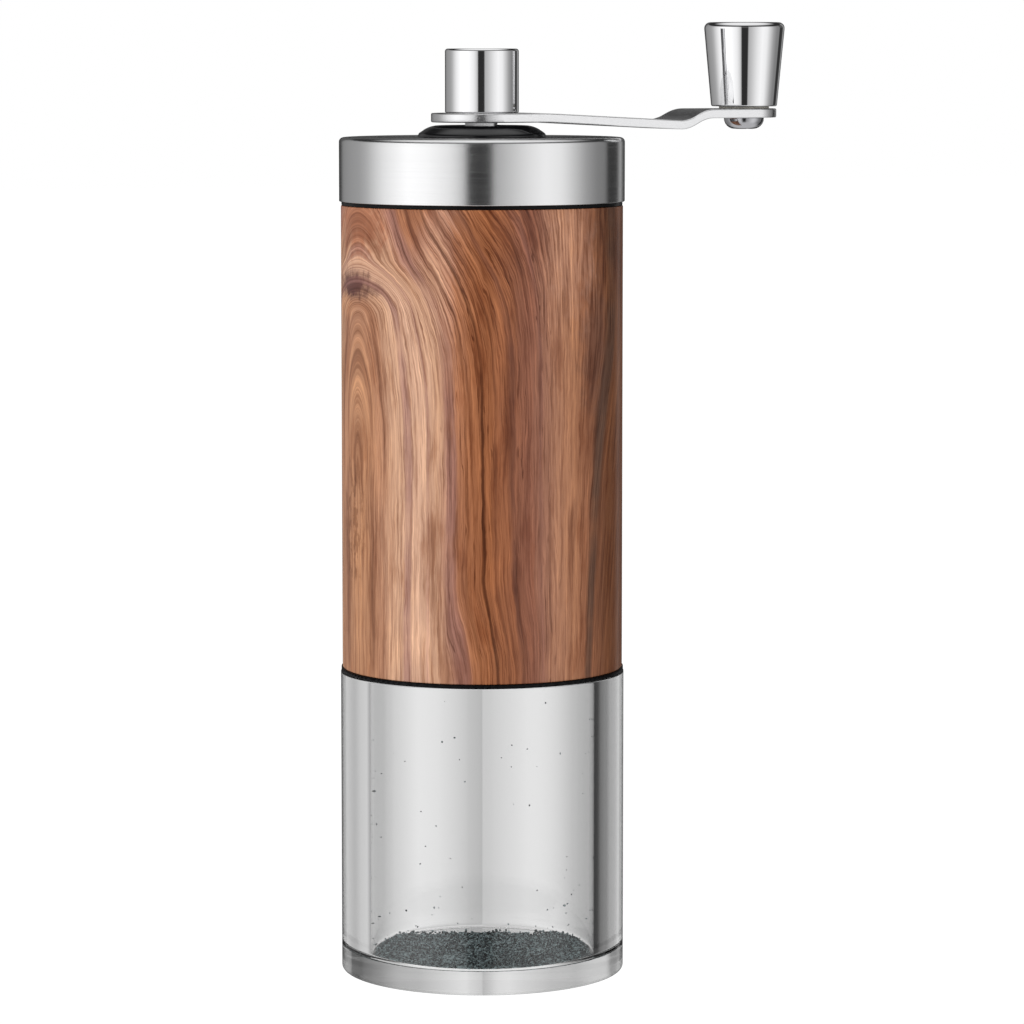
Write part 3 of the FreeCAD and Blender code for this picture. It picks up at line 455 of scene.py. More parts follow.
class Veneer(Surface):
    """The wood's graph, unrolled from the facing side, with all lengths in millimetres.

    A growth line is named by its distance round the barrel where the grain runs straight up.

    Attributes:
        arc: The distance round from the facing side, with the grain's slow sway added.
        height: The height.
        broad: The broad colour band's place.
        line: The growth line.
        colour: The colour so far.
    """

    def __init__(self, name: str, wood: "WoodGrain") -> None:
        """Makes a material of this name, unrolls the barrel and finds its growth lines."""
        super().__init__(name)
        self.wood = wood
        self.unroll()
        self.grow()
        self.colour = self.banded()

    def unroll(self) -> None:
        """Finds the distance round and the height."""
        x, y, self.height = self.facing_axes(self.place_mm)
        place = self.vector(x, y, self.times(self.height, 0.3))
        sway = self.swing(self.noise(place, 0.09), self.wood.sway)
        wave = self.swing(self.noise(place, 0.5, 3.0, 0.55), self.wood.wave)
        arc = self.times(self.math("ARCTAN2", y, x), self.wood.radius)
        self.arc = self.plus(arc, self.plus(sway, wave))

    def within(self, start: Point, end: Point) -> Socket:
        """Rises to 1 over the start and falls back to 0 over the end, round the barrel."""
        rising = self.ease(self.arc, *start, 0.0, 1.0)
        return self.times(rising, self.ease(self.arc, *end, 1.0, 0.0))

    def grow(self) -> None:
        """Finds the broad band and growth line, bent by arches, a lean and a step."""
        wood, arc, height = self.wood, self.arc, self.height
        above = self.math("SMOOTH_MAX", self.less(height, wood.closing), 0.0, 5.0)
        inner, outer = (self.ease(arc, *wood.NEAR_ARCH, *ends) for ends in ((1.0, 0.0), (0.0, 1.0)))
        tight = self.times(self.ease(height, *wood.TIGHT), inner)
        slow = self.times(self.ease(height, *wood.SLOW), outer)
        rise = self.plus(self.times(above, wood.narrowing), self.plus(tight, slow))
        rise = self.times(rise, self.within(*wood.ARCHED))
        reach = self.length(self.less(arc, wood.arch), rise)
        apart = self.less(self.plus(reach, wood.arch), arc)
        rising = self.less(self.math("SMOOTH_MIN", height, wood.upright, 8.0), wood.level)
        lean = self.times(rising, self.ease(arc, *wood.LEANING))
        step = self.times(self.ease(height, *wood.STEP), self.within(*wood.STEPPED))
        broad = self.plus(arc, self.times(apart, self.within(*wood.BROAD_ARCHED)))
        line = self.plus(arc, self.times(apart, self.ease(arc, *wood.LINE_ARCHED)))
        self.broad = self.less(broad, self.times(step, wood.broad_step))
        self.line = self.less(self.less(line, lean), step)

    def grained(
        self,
        across: float,
        along: float,
        detail: float = 3.0,
        roughness: float = 0.6,
        line: object = None,
    ) -> Socket:
        """Reads noise that is fine across the grain and long along it.

        Args:
            across: Cells per millimetre across the grain.
            along: Cells per millimetre of height.
            detail: Octaves.
            roughness: How much the finer octaves count.
            line: The place across the grain; the growth line if it isn't given.

        Returns:
            The noise, from 0 to 1.
        """
        line = self.line if line is None else line
        place = self.vector(self.times(line, across), self.times(self.height, along), 2.0)
        return self.noise(place, 1.0, detail, roughness)

    def banded(self) -> Socket:
        """The broad bands' colour, wood tone with painted shade, with edges that wander along the
        growth lines.
        """
        wander = self.swing(self.grained(1.3, 0.045, 4.0), self.wood.wander)
        first, last = self.wood.BANDS_WITH_PAINTED_SHADE[0][0], self.wood.BANDS_WITH_PAINTED_SHADE[-1][0]
        stops = [((place - first) / (last - first), colour) for place, colour in self.wood.BANDS_WITH_PAINTED_SHADE]
        share = self.math("DIVIDE", self.less(self.plus(self.broad, wander), first), last - first)
        return self.ramp(share, stops, "LINEAR")

    def cover(self, patch: Patch) -> Socket:
        """How far a stain covers a place, from 0 outside it to its depth at its middle."""
        ragged = self.swing(self.grained(0.5, 0.3, 4.0, 0.65, self.arc), self.wood.ragged)
        side = self.math("DIVIDE", self.less(self.arc, patch.across), patch.width)
        rise = self.math("DIVIDE", self.less(self.height, patch.up), patch.tall)
        return self.ease(self.plus(self.length(side, rise), ragged), 0.3, 1.1, patch.depth, 0.0)

    def stain(self, patch: Patch) -> None:
        """Lays a stain."""
        self.colour = self.mix(self.cover(patch), self.colour, patch.colour)

    def figure(self, patch: Patch) -> None:
        """Lays a stain that is broken up into waves."""
        waves = self.ease(self.grained(0.75, 0.24, 4.0, 0.65, self.arc), 0.48, 0.56, 0.0, 1.0)
        self.colour = self.mix(self.times(self.cover(patch), waves), self.colour, patch.colour)

    def streak(self, streak: Streak) -> None:
        """Draws one dark streak, which swells and thins along its length."""
        swell = self.ease(self.grained(1.0, 0.06, line=streak.place), 0.3, 0.55, 0.35, 1.0)
        apart = self.math("ABSOLUTE", self.less(self.line, streak.place))
        near = self.ease(apart, streak.width * 0.3, streak.width, 1.0, 0.0)
        share = self.times(near, self.times(swell, streak.depth))
        self.colour = self.mix(share, self.colour, streak.colour)

    def shade(self, share: object, light: object, *stops: tuple[float, Colour]) -> None:
        """Darkens and lightens the colour by a noise.

        Args:
            share: How strongly.
            light: The noise, which leaves the colour alone at its middle.
            stops: The noise's lowest and highest value that count, and the shade at each.
        """
        low, high = stops
        shades = self.ramp(light, [low, (0.5, (1.0, 1.0, 1.0)), high])
        self.colour = self.mix(share, self.colour, shades, "MULTIPLY")

    def thread(self) -> None:
        """Adds blotches, soft streaks, fine pale threads, and thin dark lines that come and go."""
        blotch = self.grained(0.3, 0.06, 4.0)
        soft = self.grained(1.2, 0.035, 4.0, 0.65)
        fine = self.grained(4.5, 0.09)
        self.shade(0.8, blotch, (0.32, (0.70, 0.58, 0.50)), (0.7, (1.2, 1.2, 1.15)))
        self.shade(0.75, soft, (0.35, (0.52, 0.40, 0.33)), (0.66, (1.35, 1.38, 1.35)))
        sharp = self.ease(self.height, 100.0, 122.0, 0.5, 1.0)
        self.shade(sharp, fine, (0.36, (0.60, 0.50, 0.43)), (0.66, (1.38, 1.42, 1.40)))
        rings = self.math("PINGPONG", self.times(self.grained(0.8, 0.018, 2.0, 0.5), 9.0), 0.5)
        present = self.ease(self.grained(0.5, 0.02), 0.42, 0.58, 0.1, 0.8)
        rare = self.times(self.ease(rings, 0.03, 0.09, 1.0, 0.0), present)
        fades = [self.ease(self.arc, *fade) for fade in (self.wood.FADE_IN, self.wood.FADE_OUT)]
        share = self.times(rare, self.times(*fades))
        self.colour = self.mix(share, self.colour, (0.35, 0.24, 0.18), "MULTIPLY")


@dataclass(frozen=True)
class WoodGrain(Finish):
    """Wood veneer whose grain runs up the barrel, bends round a knot and arches below it.

    Attributes:
        radius: The barrel's radius, in millimetres, as are all lengths here.
        arch: The growth line that the arches stand on.
        closing: The height where the arches begin to close.
        narrowing: How fast they close, per millimetre of height.
        level: The height where leaning grain stands at its own place.
        upright: The height where the lean ends.
        sway: How far the grain sways slowly.
        wave: How far it sways quickly.
        wander: How far the broad bands' edges wander.
        broad_step: How much of the step the broad bands take.
        ragged: How ragged the stains' edges are, as a share of their size.
    """

    # Broad bands round the barrel, as places and colours: the wood's own tone with painted shade
    # folded in, darkest on the right of the facing side, from about 20 to 35 mm round.
    BANDS_WITH_PAINTED_SHADE: ClassVar[tuple[tuple[float, Colour], ...]] = (
        (-77.6, (0.24, 0.10, 0.05)), (-68.0, (0.38, 0.18, 0.10)), (-60.0, (0.27, 0.11, 0.055)),
        (-52.0, (0.45, 0.24, 0.15)), (-44.0, (0.34, 0.15, 0.08)), (-36.0, (0.38, 0.19, 0.12)),
        (-28.0, (0.41, 0.195, 0.10)), (-22.5, (0.40, 0.19, 0.10)), (-19.0, (0.39, 0.185, 0.105)),
        (-16.0, (0.53, 0.30, 0.19)), (-11.0, (0.56, 0.325, 0.22)), (-8.0, (0.50, 0.275, 0.17)),
        (-5.8, (0.41, 0.20, 0.13)), (-4.2, (0.35, 0.14, 0.068)), (-1.5, (0.31, 0.115, 0.05)),
        (1.0, (0.275, 0.097, 0.040)), (3.0, (0.285, 0.10, 0.042)), (5.2, (0.235, 0.082, 0.038)),
        (6.2, (0.22, 0.08, 0.043)), (8.5, (0.23, 0.083, 0.047)), (10.8, (0.30, 0.13, 0.08)),
        (13.5, (0.37, 0.168, 0.095)), (17.0, (0.36, 0.155, 0.078)), (20.0, (0.28, 0.11, 0.054)),
        (23.0, (0.18, 0.068, 0.032)), (28.0, (0.15, 0.055, 0.023)), (35.0, (0.14, 0.052, 0.024)),
        (44.0, (0.26, 0.11, 0.055)), (52.0, (0.40, 0.20, 0.12)), (60.0, (0.30, 0.13, 0.065)),
        (69.0, (0.42, 0.22, 0.13)), (77.6, (0.24, 0.10, 0.05)),
    )
    STREAKS: ClassVar[tuple[Streak, ...]] = (
        Streak(-21.4, 0.6, 0.6, (0.16, 0.055, 0.025)),
        Streak(-18.6, 0.4, 0.5, (0.20, 0.075, 0.035)),
        Streak(-13.4, 1.1, 0.65, (0.27, 0.125, 0.11)),
        Streak(-9.6, 0.4, 0.4, (0.36, 0.18, 0.15)),
        Streak(-5.4, 1.5, 0.7, (0.24, 0.105, 0.085)),
        Streak(-2.6, 0.4, 0.5, (0.16, 0.05, 0.018)),
        Streak(0.35, 0.4, 0.9, (0.075, 0.020, 0.007)),
        Streak(2.6, 0.3, 0.5, (0.12, 0.035, 0.014)),
        Streak(5.5, 0.6, 0.6, (0.10, 0.032, 0.020)),
        Streak(10.4, 0.5, 0.5, (0.19, 0.075, 0.055)),
        Streak(21.6, 1.6, 0.8, (0.075, 0.040, 0.028)),
    )
    PATCHES: ClassVar[tuple[Patch, ...]] = (
        Patch(-26.0, 133.5, 11.0, 8.0, 0.8, (0.33, 0.115, 0.055)),
        Patch(-31.5, 118.6, 5.0, 3.2, 0.7, (0.56, 0.28, 0.15)),
        Patch(-28.0, 122.0, 9.0, 3.0, 0.95, (0.085, 0.026, 0.024)),
        Patch(22.0, 112.0, 4.5, 16.0, 0.5, (0.13, 0.06, 0.042)),
        Patch(30.0, 133.0, 9.0, 9.0, 0.55, (0.095, 0.035, 0.016)),
        Patch(17.0, 128.0, 6.0, 14.0, 0.3, (0.50, 0.27, 0.19)),
    )
    FIGURE: ClassVar[Patch] = Patch(-28.0, 81.0, 5.0, 13.0, 0.75, (0.19, 0.072, 0.030))

    # Heights where the arches close fast, where they close slowly and where the grain steps, each
    # with the shift at both ends.
    TIGHT: ClassVar[Span] = (117.0, 127.0, 0.0, 7.0)
    SLOW: ClassVar[Span] = (102.0, 144.0, 0.0, 13.0)
    STEP: ClassVar[Span] = (54.0, 73.0, 2.3, 0.0)

    # Places round the barrel where the grain arches, steps and leans.
    NEAR_ARCH: ClassVar[Point] = (-20.0, -6.0)
    ARCHED: ClassVar[tuple[Point, Point]] = ((-60.0, -44.0), (-2.0, 26.0))
    BROAD_ARCHED: ClassVar[tuple[Point, Point]] = ((-44.0, -34.0), (-15.0, -5.0))
    STEPPED: ClassVar[tuple[Point, Point]] = ((-8.0, -3.0), (5.0, 13.0))
    LINE_ARCHED: ClassVar[Span] = (-50.0, -40.0, 0.0, 1.0)
    LEANING: ClassVar[Span] = (13.0, 34.0, 0.0, 0.22)

    # Where fine lines fade in from the left and out to the right.
    FADE_IN: ClassVar[Span] = (-8.0, -3.5, 0.3, 1.0)
    FADE_OUT: ClassVar[Span] = (9.0, 15.0, 1.0, 0.5)

    slot: Slot = Slot.WOOD
    radius: float = 24.7
    arch: float = -26.0
    closing: float = 92.0
    narrowing: float = 0.26
    level: float = 75.0
    upright: float = 112.0
    sway: float = 1.6
    wave: float = 0.9
    wander: float = 4.5
    broad_step: float = 0.8
    ragged: float = 1.7

    def make(self, name: str) -> Material:
        """Lays broad bands that carry painted shade, stains, dark streaks and fine growth lines
        under a clear lacquer.
        """
        veneer = Veneer(name, self)
        for patch in self.PATCHES:
            veneer.stain(patch)
        veneer.figure(self.FIGURE)
        for streak in self.STREAKS:
            veneer.streak(streak)
        veneer.thread()
        pores = veneer.grained(5.0, 0.3)
        return veneer.finish(
            Base_Color=veneer.colour,
            Roughness=veneer.ease(pores, 0.3, 0.8, 0.4, 0.52),
            Specular_IOR_Level=0.1,
            Normal=veneer.bump(pores, 0.08, 0.03 * MM),
            Coat_Weight=0.3,
            Coat_Roughness=0.05,
        )


@dataclass(frozen=True)
class Moulding(Finish):
    """Moulded plastic or rubber with a fine skin.

    Attributes:
        colour: Its colour.
        gloss: Roughness.
        skin: Depth of its moulded texture, in millimetres.
        shine: How much light it reflects head on.
    """

    slot: Slot = Slot.MOULDING
    colour: Colour = (0.028, 0.028, 0.029)
    gloss: float = 0.45
    skin: float = 0.02
    shine: float = 0.5

    def make(self, name: str) -> Material:
        """Makes a mottled colour, uneven gloss and a pebbled skin."""
        graph = Surface(name)
        cloud = graph.noise(graph.place_mm, 0.3, 3.0, 0.5)
        pebble = graph.noise(graph.place_mm, 5.0, 2.0, 0.5)
        lighter = tuple(min(1.0, part * 1.35) for part in self.colour)
        return graph.finish(
            Base_Color=graph.mix(cloud, self.colour, lighter),
            Roughness=graph.ease(cloud, 0.3, 0.7, self.gloss - 0.06, self.gloss + 0.08),
            Specular_IOR_Level=self.shine,
            Normal=graph.bump(pebble, 0.5, self.skin * MM),
        )


@dataclass(frozen=True)
class Ceramic(Finish):
    """Unglazed white ceramic with a fine sandy grain."""

    slot: Slot = Slot.CERAMIC
    colour: Colour = (0.78, 0.76, 0.71)

    def make(self, name: str) -> Material:
        """Makes a speckled body colour and a grainy surface."""
        graph = Surface(name)
        grain = graph.noise(graph.place_mm, 7.0, 3.0, 0.7)
        stain = graph.noise(graph.place_mm, 0.4, 3.0, 0.5)
        shades = [(0.3, (0.6, 0.57, 0.52)), (0.5, self.colour), (1.0, (0.86, 0.84, 0.8))]
        speck = graph.ramp(grain, shades)
        return graph.finish(
            Base_Color=graph.mix(graph.ease(stain, 0.5, 0.8, 0.0, 0.35), speck, (0.5, 0.4, 0.3)),
            Roughness=0.7,
            Normal=graph.bump(grain, 0.5, 0.03 * MM),
        )


@dataclass(frozen=True)
class GroundCoffee(Finish):
    """Dark ground coffee."""

    slot: Slot = Slot.ACRYLIC
    dark: Colour = (0.004, 0.009, 0.010)
    light: Colour = (0.034, 0.056, 0.060)
    # The glint colour is a painted highlight: the brightest grains stand in for glints of light on
    # them.
    painted_glint: Colour = (0.26, 0.33, 0.34)

    def name(self) -> str:
        """The material's name."""
        return "ground_coffee"

    def make(self, name: str) -> Material:
        """Makes grains of many shades, the brightest of them a painted highlight for glints."""
        graph = Surface(name)
        cells = graph.node("TexVoronoi", Vector=graph.place_mm, Scale=2.6)
        shade = graph.node("SeparateColor", Color=cells.outputs["Color"]).outputs[0]
        grain = graph.noise(graph.place_mm, 4.0, 3.0, 0.7)
        shades = [(0.14, self.dark), (0.27, self.light), (0.42, self.painted_glint)]
        return graph.finish(
            Base_Color=graph.ramp(graph.times(shade, grain), shades),
            Roughness=0.8,
            Specular_IOR_Level=0.12,
            Normal=graph.bump(grain, 0.6, 0.15 * MM),
        )


ACRYLIC = ClearAcrylic()
CHROME = Metal()
BRUSHED = TurnedSteel()
SATIN = SatinSteel()
WOOD = WoodGrain()
SEAM = Moulding(Slot.SEAM, (0.0015, 0.0015, 0.0018), 0.3, 0.006, 0.12)
MOULDING = Moulding()
GLOSS_BLACK = Moulding(Slot.GLOSS_BLACK, (0.004, 0.004, 0.0045), 0.1, 0.0)
SILICONE = Moulding(Slot.SILICONE, (0.035, 0.035, 0.036), 0.5, 0.01)
NYLON = Moulding(Slot.NYLON, (0.62, 0.6, 0.54), 0.4, 0.01)
CERAMIC = Ceramic()
BRASS = Metal(Slot.BRASS, (0.72, 0.5, 0.2), 0.2, 0.1, 0.01)
TUBE = Metal(Slot.TUBE, (0.66, 0.66, 0.67), 0.25, 0.1, 0.01)
SPRING = Metal(Slot.SPRING, (0.5, 0.5, 0.52), 0.22, 0.1)
SCREW = Metal(Slot.SCREW, (0.50, 0.50, 0.52), 0.06, 0.10, 0.004)
COFFEE = GroundCoffee()

FINISHES = (
    ACRYLIC, CHROME, BRUSHED, SATIN, WOOD, SEAM, MOULDING, GLOSS_BLACK, SILICONE, NYLON, CERAMIC,
    BRASS, TUBE, SPRING, SCREW,
)
FINISH_OF = {finish.slot.value: finish for finish in FINISHES}


# --- modelling ---


class Bench:
    """Modelling steps that the pieces share, done with Blender's own operators.

    ROUND is the steps in a full turn, CORNER the facets of a rounded corner, and ONE_POINT how
    near two points are when they are one.
    """

    ROUND = 192
    CORNER = 6
    ONE_POINT = 0.0005 * MM

    @staticmethod
    def mode(name: str) -> None:
        """Changes to object or edit mode."""
        bpy.ops.object.mode_set(mode=name)

    @staticmethod
    def pick(action: str) -> None:
        """Selects or deselects all of the open mesh."""
        bpy.ops.mesh.select_all(action=action)

    @staticmethod
    def clear() -> None:
        """Returns to object mode with nothing selected."""
        if bpy.context.object and bpy.context.object.mode != "OBJECT":
            Bench.mode("OBJECT")
        bpy.ops.object.select_all(action="DESELECT")

    @staticmethod
    def take(piece: Piece) -> None:
        """Makes a piece the only selected and active one."""
        Bench.clear()
        piece.select_set(True)
        bpy.context.view_layer.objects.active = piece

    @staticmethod
    def edit(piece: Piece) -> None:
        """Opens a piece in edit mode with all of it selected."""
        Bench.take(piece)
        Bench.mode("EDIT")
        Bench.pick("SELECT")

    @staticmethod
    def pick_points(piece: Piece, wanted: list[int]) -> None:
        """Selects vertices of the open piece by their numbers, and nothing else."""
        bpy.ops.mesh.select_mode(type="VERT")
        Bench.pick("DESELECT")
        Bench.mode("OBJECT")
        for index in wanted:
            piece.data.vertices[index].select = True
        Bench.mode("EDIT")

    @staticmethod
    def lathe(
        name: str,
        profile: list[Point],
        rounds: dict[int, float] | None = None,
        axis_x: float = 0.0,
        closed: bool = True,
        steps: int = ROUND,
    ) -> Piece:
        """Turns a profile about an upright axis.

        Args:
            name: The piece's name.
            profile: Radii and heights, one after another.
            rounds: Corner radii, by the corner's number in the profile.
            axis_x: Where the axis stands on X.
            closed: True if the last point joins the first; False if both ends lie on the axis.
            steps: Steps in the full turn.

        Returns:
            The turned piece.
        """
        Bench.clear()
        bpy.ops.mesh.primitive_plane_add(size=MM)
        piece = bpy.context.object
        piece.name = piece.data.name = name
        Bench.mode("EDIT")
        Bench.pick("SELECT")
        bpy.ops.mesh.merge(type="CENTER")
        places = [Vector((axis_x + radius, 0.0, height)) for radius, height in profile]
        bpy.ops.transform.translate(value=places[0])
        for before, after in zip(places, places[1:]):
            bpy.ops.mesh.extrude_vertices_move(TRANSFORM_OT_translate={"value": after - before})
        if closed:
            Bench.pick_points(piece, [0, len(places) - 1])
            bpy.ops.mesh.edge_face_add()
        Bench.round_corners(piece, places, rounds or {})
        Bench.pick("SELECT")
        axis = {"center": (axis_x, 0.0, 0.0), "axis": (0.0, 0.0, 1.0)}
        bpy.ops.mesh.spin(steps=steps, angle=math.tau, **axis)
        Bench.pick("SELECT")
        bpy.ops.mesh.remove_doubles(threshold=Bench.ONE_POINT)
        bpy.ops.mesh.normals_make_consistent(inside=False)
        Bench.mode("OBJECT")
        return piece

    @staticmethod
    def round_corners(piece: Piece, places: list[Vector], rounds: dict[int, float]) -> None:
        """Rounds corners of the open piece's outline, found again by their places."""
        for corner, radius in rounds.items():
            Bench.mode("OBJECT")
            apart = [(point.co - places[corner]).length for point in piece.data.vertices]
            Bench.mode("EDIT")
            near = [index for index, gap in enumerate(apart) if gap < Bench.ONE_POINT * 2]
            Bench.pick_points(piece, near)
            bpy.ops.mesh.bevel(affect="VERTICES", offset=radius, segments=Bench.CORNER, profile=0.5)

    @staticmethod
    def modify(piece: Piece, kind: str, **settings: object) -> None:
        """Gives a piece a modifier with these settings, and applies it.

        Args:
            piece: The piece.
            kind: The modifier's type.
            settings: The modifier's settings.
        """
        Bench.take(piece)
        modifier = piece.modifiers.new(kind.lower(), kind)
        for name, setting in settings.items():
            setattr(modifier, name, setting)
        bpy.ops.object.modifier_apply(modifier=modifier.name)

    @staticmethod
    def smooth(piece: Piece, angle: float = 32.0) -> Piece:
        """Shades a piece smooth across gentle edges, with flat faces kept flat."""
        Bench.take(piece)
        bpy.ops.object.shade_smooth_by_angle(angle=math.radians(angle))
        Bench.modify(piece, "WEIGHTED_NORMAL", keep_sharp=True, weight=100)
        return piece

    @staticmethod
    def bevel(piece: Piece, width: float, angle: float = 40.0, segments: int = 3) -> None:
        """Breaks a piece's edges that are sharper than an angle in degrees."""
        sizes = {"width": width, "segments": segments, "angle_limit": math.radians(angle)}
        Bench.modify(piece, "BEVEL", limit_method="ANGLE", harden_normals=False, **sizes)

    @staticmethod
    def cut(piece: Piece, *tools: Piece) -> None:
        """Cuts tools out of a piece and throws the tools away."""
        for tool in tools:
            Bench.modify(piece, "BOOLEAN", operation="DIFFERENCE", solver="EXACT", object=tool)
            Bench.take(tool)
            bpy.ops.object.delete()

    @staticmethod
    def bar(radius: float, low: float, high: float, x: float = 0.0, sides: int = 64) -> Piece:
        """An upright bar to cut with."""
        Bench.clear()
        bpy.ops.mesh.primitive_cylinder_add(
            vertices=sides, radius=radius, depth=high - low, location=(x, 0.0, (low + high) / 2)
        )
        bar = bpy.context.object
        bpy.ops.object.transform_apply()
        return bar

    @staticmethod
    def polished_copy(node: str, angle: float = 30.0) -> Piece:
        """A copy of a frame node's mesh with its seams closed and its curves shaded smooth.

        Args:
            node: The frame's node.
            angle: The sharpest edge that still counts as a curve, in degrees.

        Returns:
            The copy, named after the node.
        """
        Bench.clear()
        source = frame["nodes"][node]
        piece = bpy.data.objects.new(node + "_finished", source.data.copy())
        bpy.context.scene.collection.objects.link(piece)
        piece.data.name = piece.name
        Bench.edit(piece)
        bpy.ops.mesh.remove_doubles(threshold=Bench.ONE_POINT)
        Bench.mode("OBJECT")
        return Bench.smooth(piece, angle)


def settle(piece: Piece, body: Body, finish: Finish, *nodes: str) -> Piece:
    """Dresses a finished piece, sets what it moves with and what it stands for.

    Args:
        piece: The piece.
        body: The body that it moves with.
        finish: Its finish.
        nodes: The frame nodes that it replaces.

    Returns:
        The piece.
    """
    finish.dress(piece)
    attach(piece, body.value)
    if nodes:
        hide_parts(*nodes)
    faces = len(piece.data.polygons)
    stands_for = ", ".join(nodes) or "nothing"
    log.info("%s: %d faces, rides on %s, stands for %s", piece.name, faces, body.value, stands_for)
    return piece


def span(node: str) -> tuple[float, float, float]:
    """A turned node's radius, lowest height and highest height."""
    low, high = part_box(node)
    return (high.y - low.y) / 2, low.z, high.z


# --- sub-assemblies ---


@dataclass
class PowderCup:
    """The clear cup, with a thick wall and a neck that plugs into the barrel."""

    wall: float = 5.1 * MM
    floor: float = 3.4 * MM
    neck_height: float = 8.0 * MM
    neck_inset: float = 3.1 * MM
    groove_low: float = 3.3 * MM
    groove_high: float = 4.7 * MM
    groove_depth: float = 1.05 * MM
    foot_round: float = 0.7 * MM
    shoulder_round: float = 0.25 * MM
    rim_round: float = 0.4 * MM
    mouth_round: float = 0.3 * MM
    floor_round: float = 1.2 * MM

    def build(self) -> None:
        """Builds the cup."""
        settle(self.glass(), Body.CUP, ACRYLIC, "powder_cup")

    def glass(self) -> Piece:
        """Turns the thick wall, its solid floor and the neck with its groove."""
        radius, base, top = span("powder_cup")
        shoulder = top - self.neck_height
        neck = radius - self.neck_inset
        cavity = radius - self.wall
        groove = neck - self.groove_depth
        profile = [
            (0.0, base), (radius, base), (radius, shoulder), (neck, shoulder),
            (neck, shoulder + self.groove_low), (groove, shoulder + self.groove_low),
            (groove, shoulder + self.groove_high), (neck, shoulder + self.groove_high),
            (neck, top), (cavity, top), (cavity, base + self.floor), (0.0, base + self.floor),
        ]
        rounds = {
            1: self.foot_round, 2: self.shoulder_round, 8: self.rim_round, 9: self.mouth_round,
            10: self.floor_round,
        }
        return Bench.smooth(Bench.lathe("clear_cup", profile, rounds, closed=False))


